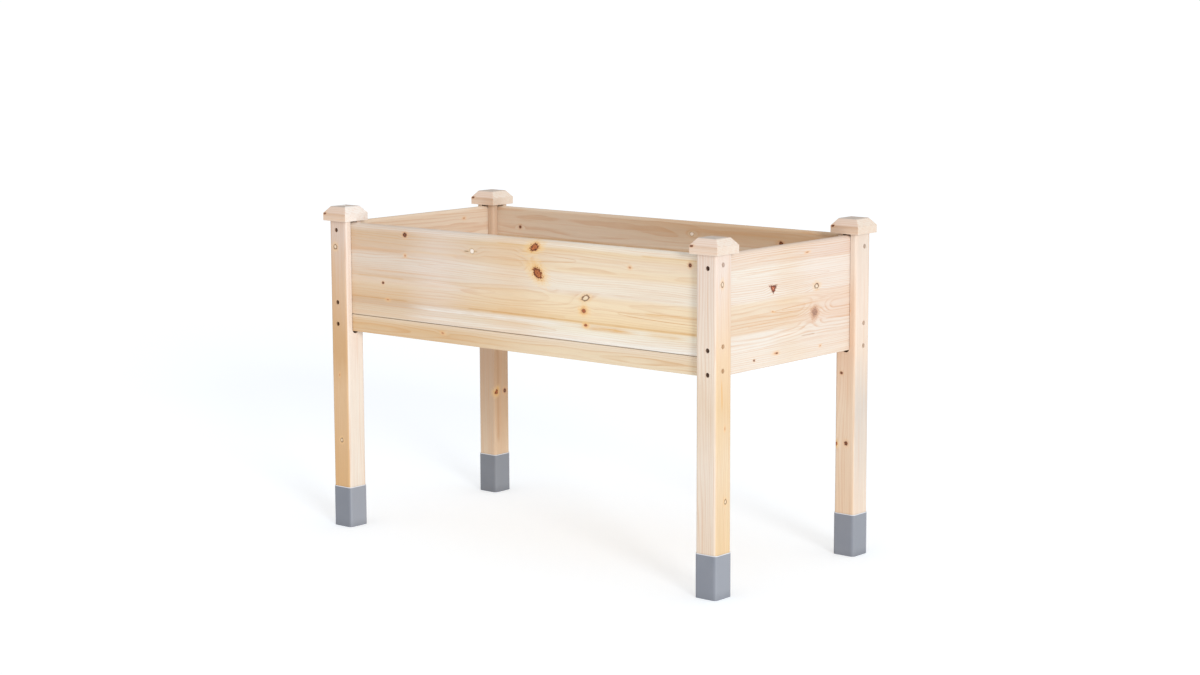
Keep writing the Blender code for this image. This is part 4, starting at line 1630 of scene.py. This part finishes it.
half_long = floor_shape.input("Length") * 0.5
run = floor_shape.add(
    "GeometryNodeCurvePrimitiveLine",
    {"mode": "POINTS"},
    {
        "Start": floor_shape.joined(0.0, 0.0 - half_long, 0.0),
        "End": floor_shape.joined(0.0, half_long, 0.0),
    },
    "Curve",
)
slat = floor_shape.add(
    "GeometryNodeCurveToMesh", sockets={"Curve": run, "Profile Curve": broken, "Fill Caps": True}
)
row = floor_shape.add(
    "GeometryNodeMeshLine",
    {"mode": "OFFSET", "count_mode": "TOTAL"},
    {
        "Count": floor_shape.input("Count"),
        "Start Location": floor_shape.joined(
            (floor_shape.input("Count") - 1) * floor_shape.input("Pitch") * -0.5, 0.0, 0.0
        ),
        "Offset": floor_shape.joined(floor_shape.input("Pitch"), 0.0, 0.0),
    },
)
laid = floor_shape.add(
    "GeometryNodeInstanceOnPoints", sockets={"Points": row, "Instance": slat}
)
solid_row = floor_shape.add("GeometryNodeRealizeInstances", sockets={0: laid})
post_marks = floor_shape.add(
    "GeometryNodeMeshGrid",
    sockets={
        "Size X": floor_shape.input("Post Spacing X"),
        "Size Y": floor_shape.input("Post Spacing Y"),
        "Vertices X": 2,
        "Vertices Y": 2,
    },
    give="Mesh",
)
block = floor_shape.add(
    "GeometryNodeMeshCube",
    sockets={
        "Size": floor_shape.joined(
            floor_shape.input("Notch Side"), floor_shape.input("Notch Side"), 0.1
        )
    },
    give="Mesh",
)
blocks = floor_shape.add(
    "GeometryNodeInstanceOnPoints", sockets={"Points": post_marks, "Instance": block}
)
solid_blocks = floor_shape.add("GeometryNodeRealizeInstances", sockets={0: blocks})
notched = floor_shape.add(
    "GeometryNodeMeshBoolean",
    {"operation": "DIFFERENCE", "solver": "EXACT"},
    {"Mesh 1": solid_row, "Mesh 2": [solid_blocks]},
    "Mesh",
)
lifted = floor_shape.add(
    "GeometryNodeTransform",
    sockets={"Geometry": notched, "Translation": (0.0, 0.0, (slat_low.z + slat_high.z) / 2)},
)
slats = floor_shape.make("floor_slat_row", [(Vector((0, 0, 0)), Vector((0, 0, 1)))], lifted)
made_low = Vector([min(v.co[axis] for v in slats.data.vertices) for axis in range(3)])
print("slats reach", tuple(round(a - b, 5) for a, b in zip(made_low, row_low)), "from the frame's")
finish_piece(slats, slat_finish, slat_names, smooth=28.0)

# %% [markdown]
# ## Cleats and their screws
# Each cleat is a strip held by four countersunk screws through its inner face into the bottom rail.
# They use the screw tree again, shorter and thinner. Small turned cutters make their holes.

# %% Build the cleats
CLEAT_SCREWS_X = (-0.45, -0.15, 0.15, 0.45)
CLEAT_HOLE = 1.9 * MILLIMETRE
CLEAT_SINK = 3.8 * MILLIMETRE
cleat_places = []
for side in ("front", "rear"):
    low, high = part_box(side + "_floor_cleat")
    finish = slat_wood("fir_" + side + "_cleat", "X", "Y", 29.0 + low.y * 10, -300.0, 300.0)
    cleat = put(side + "_cleat_strip", bar("cleat", low, high, "X", [EASED] * 4, 0.0006))
    inner = Vector((0, -math.copysign(1, low.y), 0))
    face = high.y if inner.y > 0 else low.y
    through = high.y - low.y
    cutters = []
    for x in CLEAT_SCREWS_X:
        mouth = Vector((x, face, (low.z + high.z) / 2))
        outline = [
            (CLEAT_SINK + PAST, PAST),
            (CLEAT_SINK, 0.0),
            (CLEAT_HOLE, -(CLEAT_SINK - CLEAT_HOLE)),
            (CLEAT_HOLE, -through - PAST),
        ]
        sink = put("sink", turned("sink", outline, 24))
        turn = Vector((0, 0, 1)).rotation_difference(inner).to_matrix().to_4x4()
        sink.data.transform(Matrix.Translation(mouth) @ turn)
        cutters.append(sink)
        cleat_places.append((mouth - inner * 0.0002, inner))
    carve(cleat, cutters)
    finish_piece(cleat, finish, [side + "_floor_cleat"])

# %% Drive the cleat screws
cleat_screws = wood_screws(
    "cleat_screws", cleat_places, 29.0 * MILLIMETRE, 1.7 * MILLIMETRE, 3.5 * MILLIMETRE,
    2.3 * MILLIMETRE, seed=9,
)
cleat_screws.data.materials.clear()
cleat_screws.data.materials.append(zinc_finish)
cleat_screws.data.shade_smooth()
cleat_screws.data.set_sharp_from_angle(angle=math.radians(38))
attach(cleat_screws, "root")
print(cleat_screws.name, len(cleat_screws.data.polygons), "faces")

# %% [markdown]
# ## Cap pins
# A cap sits on a fluted beech pin in the end of its post. The flutes are one rule: the outline's
# radius follows a cosine of the angle.

# %% Build the pins
def beech():
    timber = Timber("beech_pin", "Z", "X", "Y", 41.0)
    dark = timber.rings(520, 300, 1.1, 2)
    return timber.finish(
        timber.mixed(0.5, linear(222, 186, 146), linear(206, 166, 124)),
        dark, linear(178, 128, 88), 0.3, linear(186, 140, 98), 0.3,
    )


pin_finish = beech()
pin_low, pin_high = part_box("cap_dowel_front_right")
pin_shape = Shape(
    "cap_pins",
    {
        "Radius": (pin_high.x - pin_low.x) / 2,
        "Length": pin_high.z - pin_low.z,
        "Flutes": 12.0,
        "Flute Depth": 0.3 * MILLIMETRE,
        "Chamfer": 1.0 * MILLIMETRE,
        "Material": pin_finish,
    },
)
pin_round = pin_shape.add(
    "GeometryNodeCurvePrimitiveCircle", sockets={"Resolution": 96, "Radius": 1.0}, give="Curve"
)
share = pin_shape.add("GeometryNodeSplineParameter", give="Factor")
wave = pin_shape.sum("COSINE", share * math.tau * pin_shape.input("Flutes"))
dip = (1 - wave) * 0.5 * pin_shape.input("Flute Depth") / pin_shape.input("Radius")
here = pin_shape.add("GeometryNodeInputPosition")
shrunk = pin_shape.add(
    "ShaderNodeVectorMath", {"operation": "SCALE"}, {"Vector": here, "Scale": 1 - dip}
)
fluted = pin_shape.add(
    "GeometryNodeSetPosition", sockets={"Geometry": pin_round, "Position": shrunk}
)
pin_line = pin_shape.add(
    "GeometryNodeCurvePrimitiveLine",
    {"mode": "POINTS"},
    {
        "Start": pin_shape.joined(0.0, 0.0, pin_shape.input("Length") * -0.5),
        "End": pin_shape.joined(0.0, 0.0, pin_shape.input("Length") * 0.5),
    },
    "Curve",
)
pin_spine = pin_shape.add(
    "GeometryNodeResampleCurve", sockets={"Curve": pin_line, "Count": 49}, give="Curve"
)
pin_spot = pin_shape.add("GeometryNodeInputPosition")
pin_up = pin_shape.add("ShaderNodeSeparateXYZ", sockets={0: pin_spot}).other("Z")
from_end = pin_shape.input("Length") * 0.5 - pin_shape.sum("ABSOLUTE", pin_up)
ease = pin_shape.sum("MINIMUM", from_end / pin_shape.input("Chamfer"), 1.0)
pin_radius = pin_shape.input("Radius") * (0.72 + 0.28 * ease)
pin_lathe = pin_shape.add(
    "GeometryNodeSetCurveRadius", sockets={"Curve": pin_spine, "Radius": pin_radius}
)
pin_body = pin_shape.add(
    "GeometryNodeCurveToMesh",
    sockets={
        "Curve": pin_lathe,
        "Profile Curve": fluted,
        "Fill Caps": True,
        "Scale": pin_shape.add("GeometryNodeInputRadius"),
    },
)
pin_places = []
for corner, foot in CORNERS.items():
    low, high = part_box("cap_dowel_" + corner)
    pin_places.append(((low + high) / 2, Vector((0, 0, 1))))
pins = pin_shape.make("cap_pins", pin_places, pin_shape.stood_on_points(pin_body))
finish_piece(pins, pin_finish, ["cap_dowel_" + corner for corner in CORNERS])
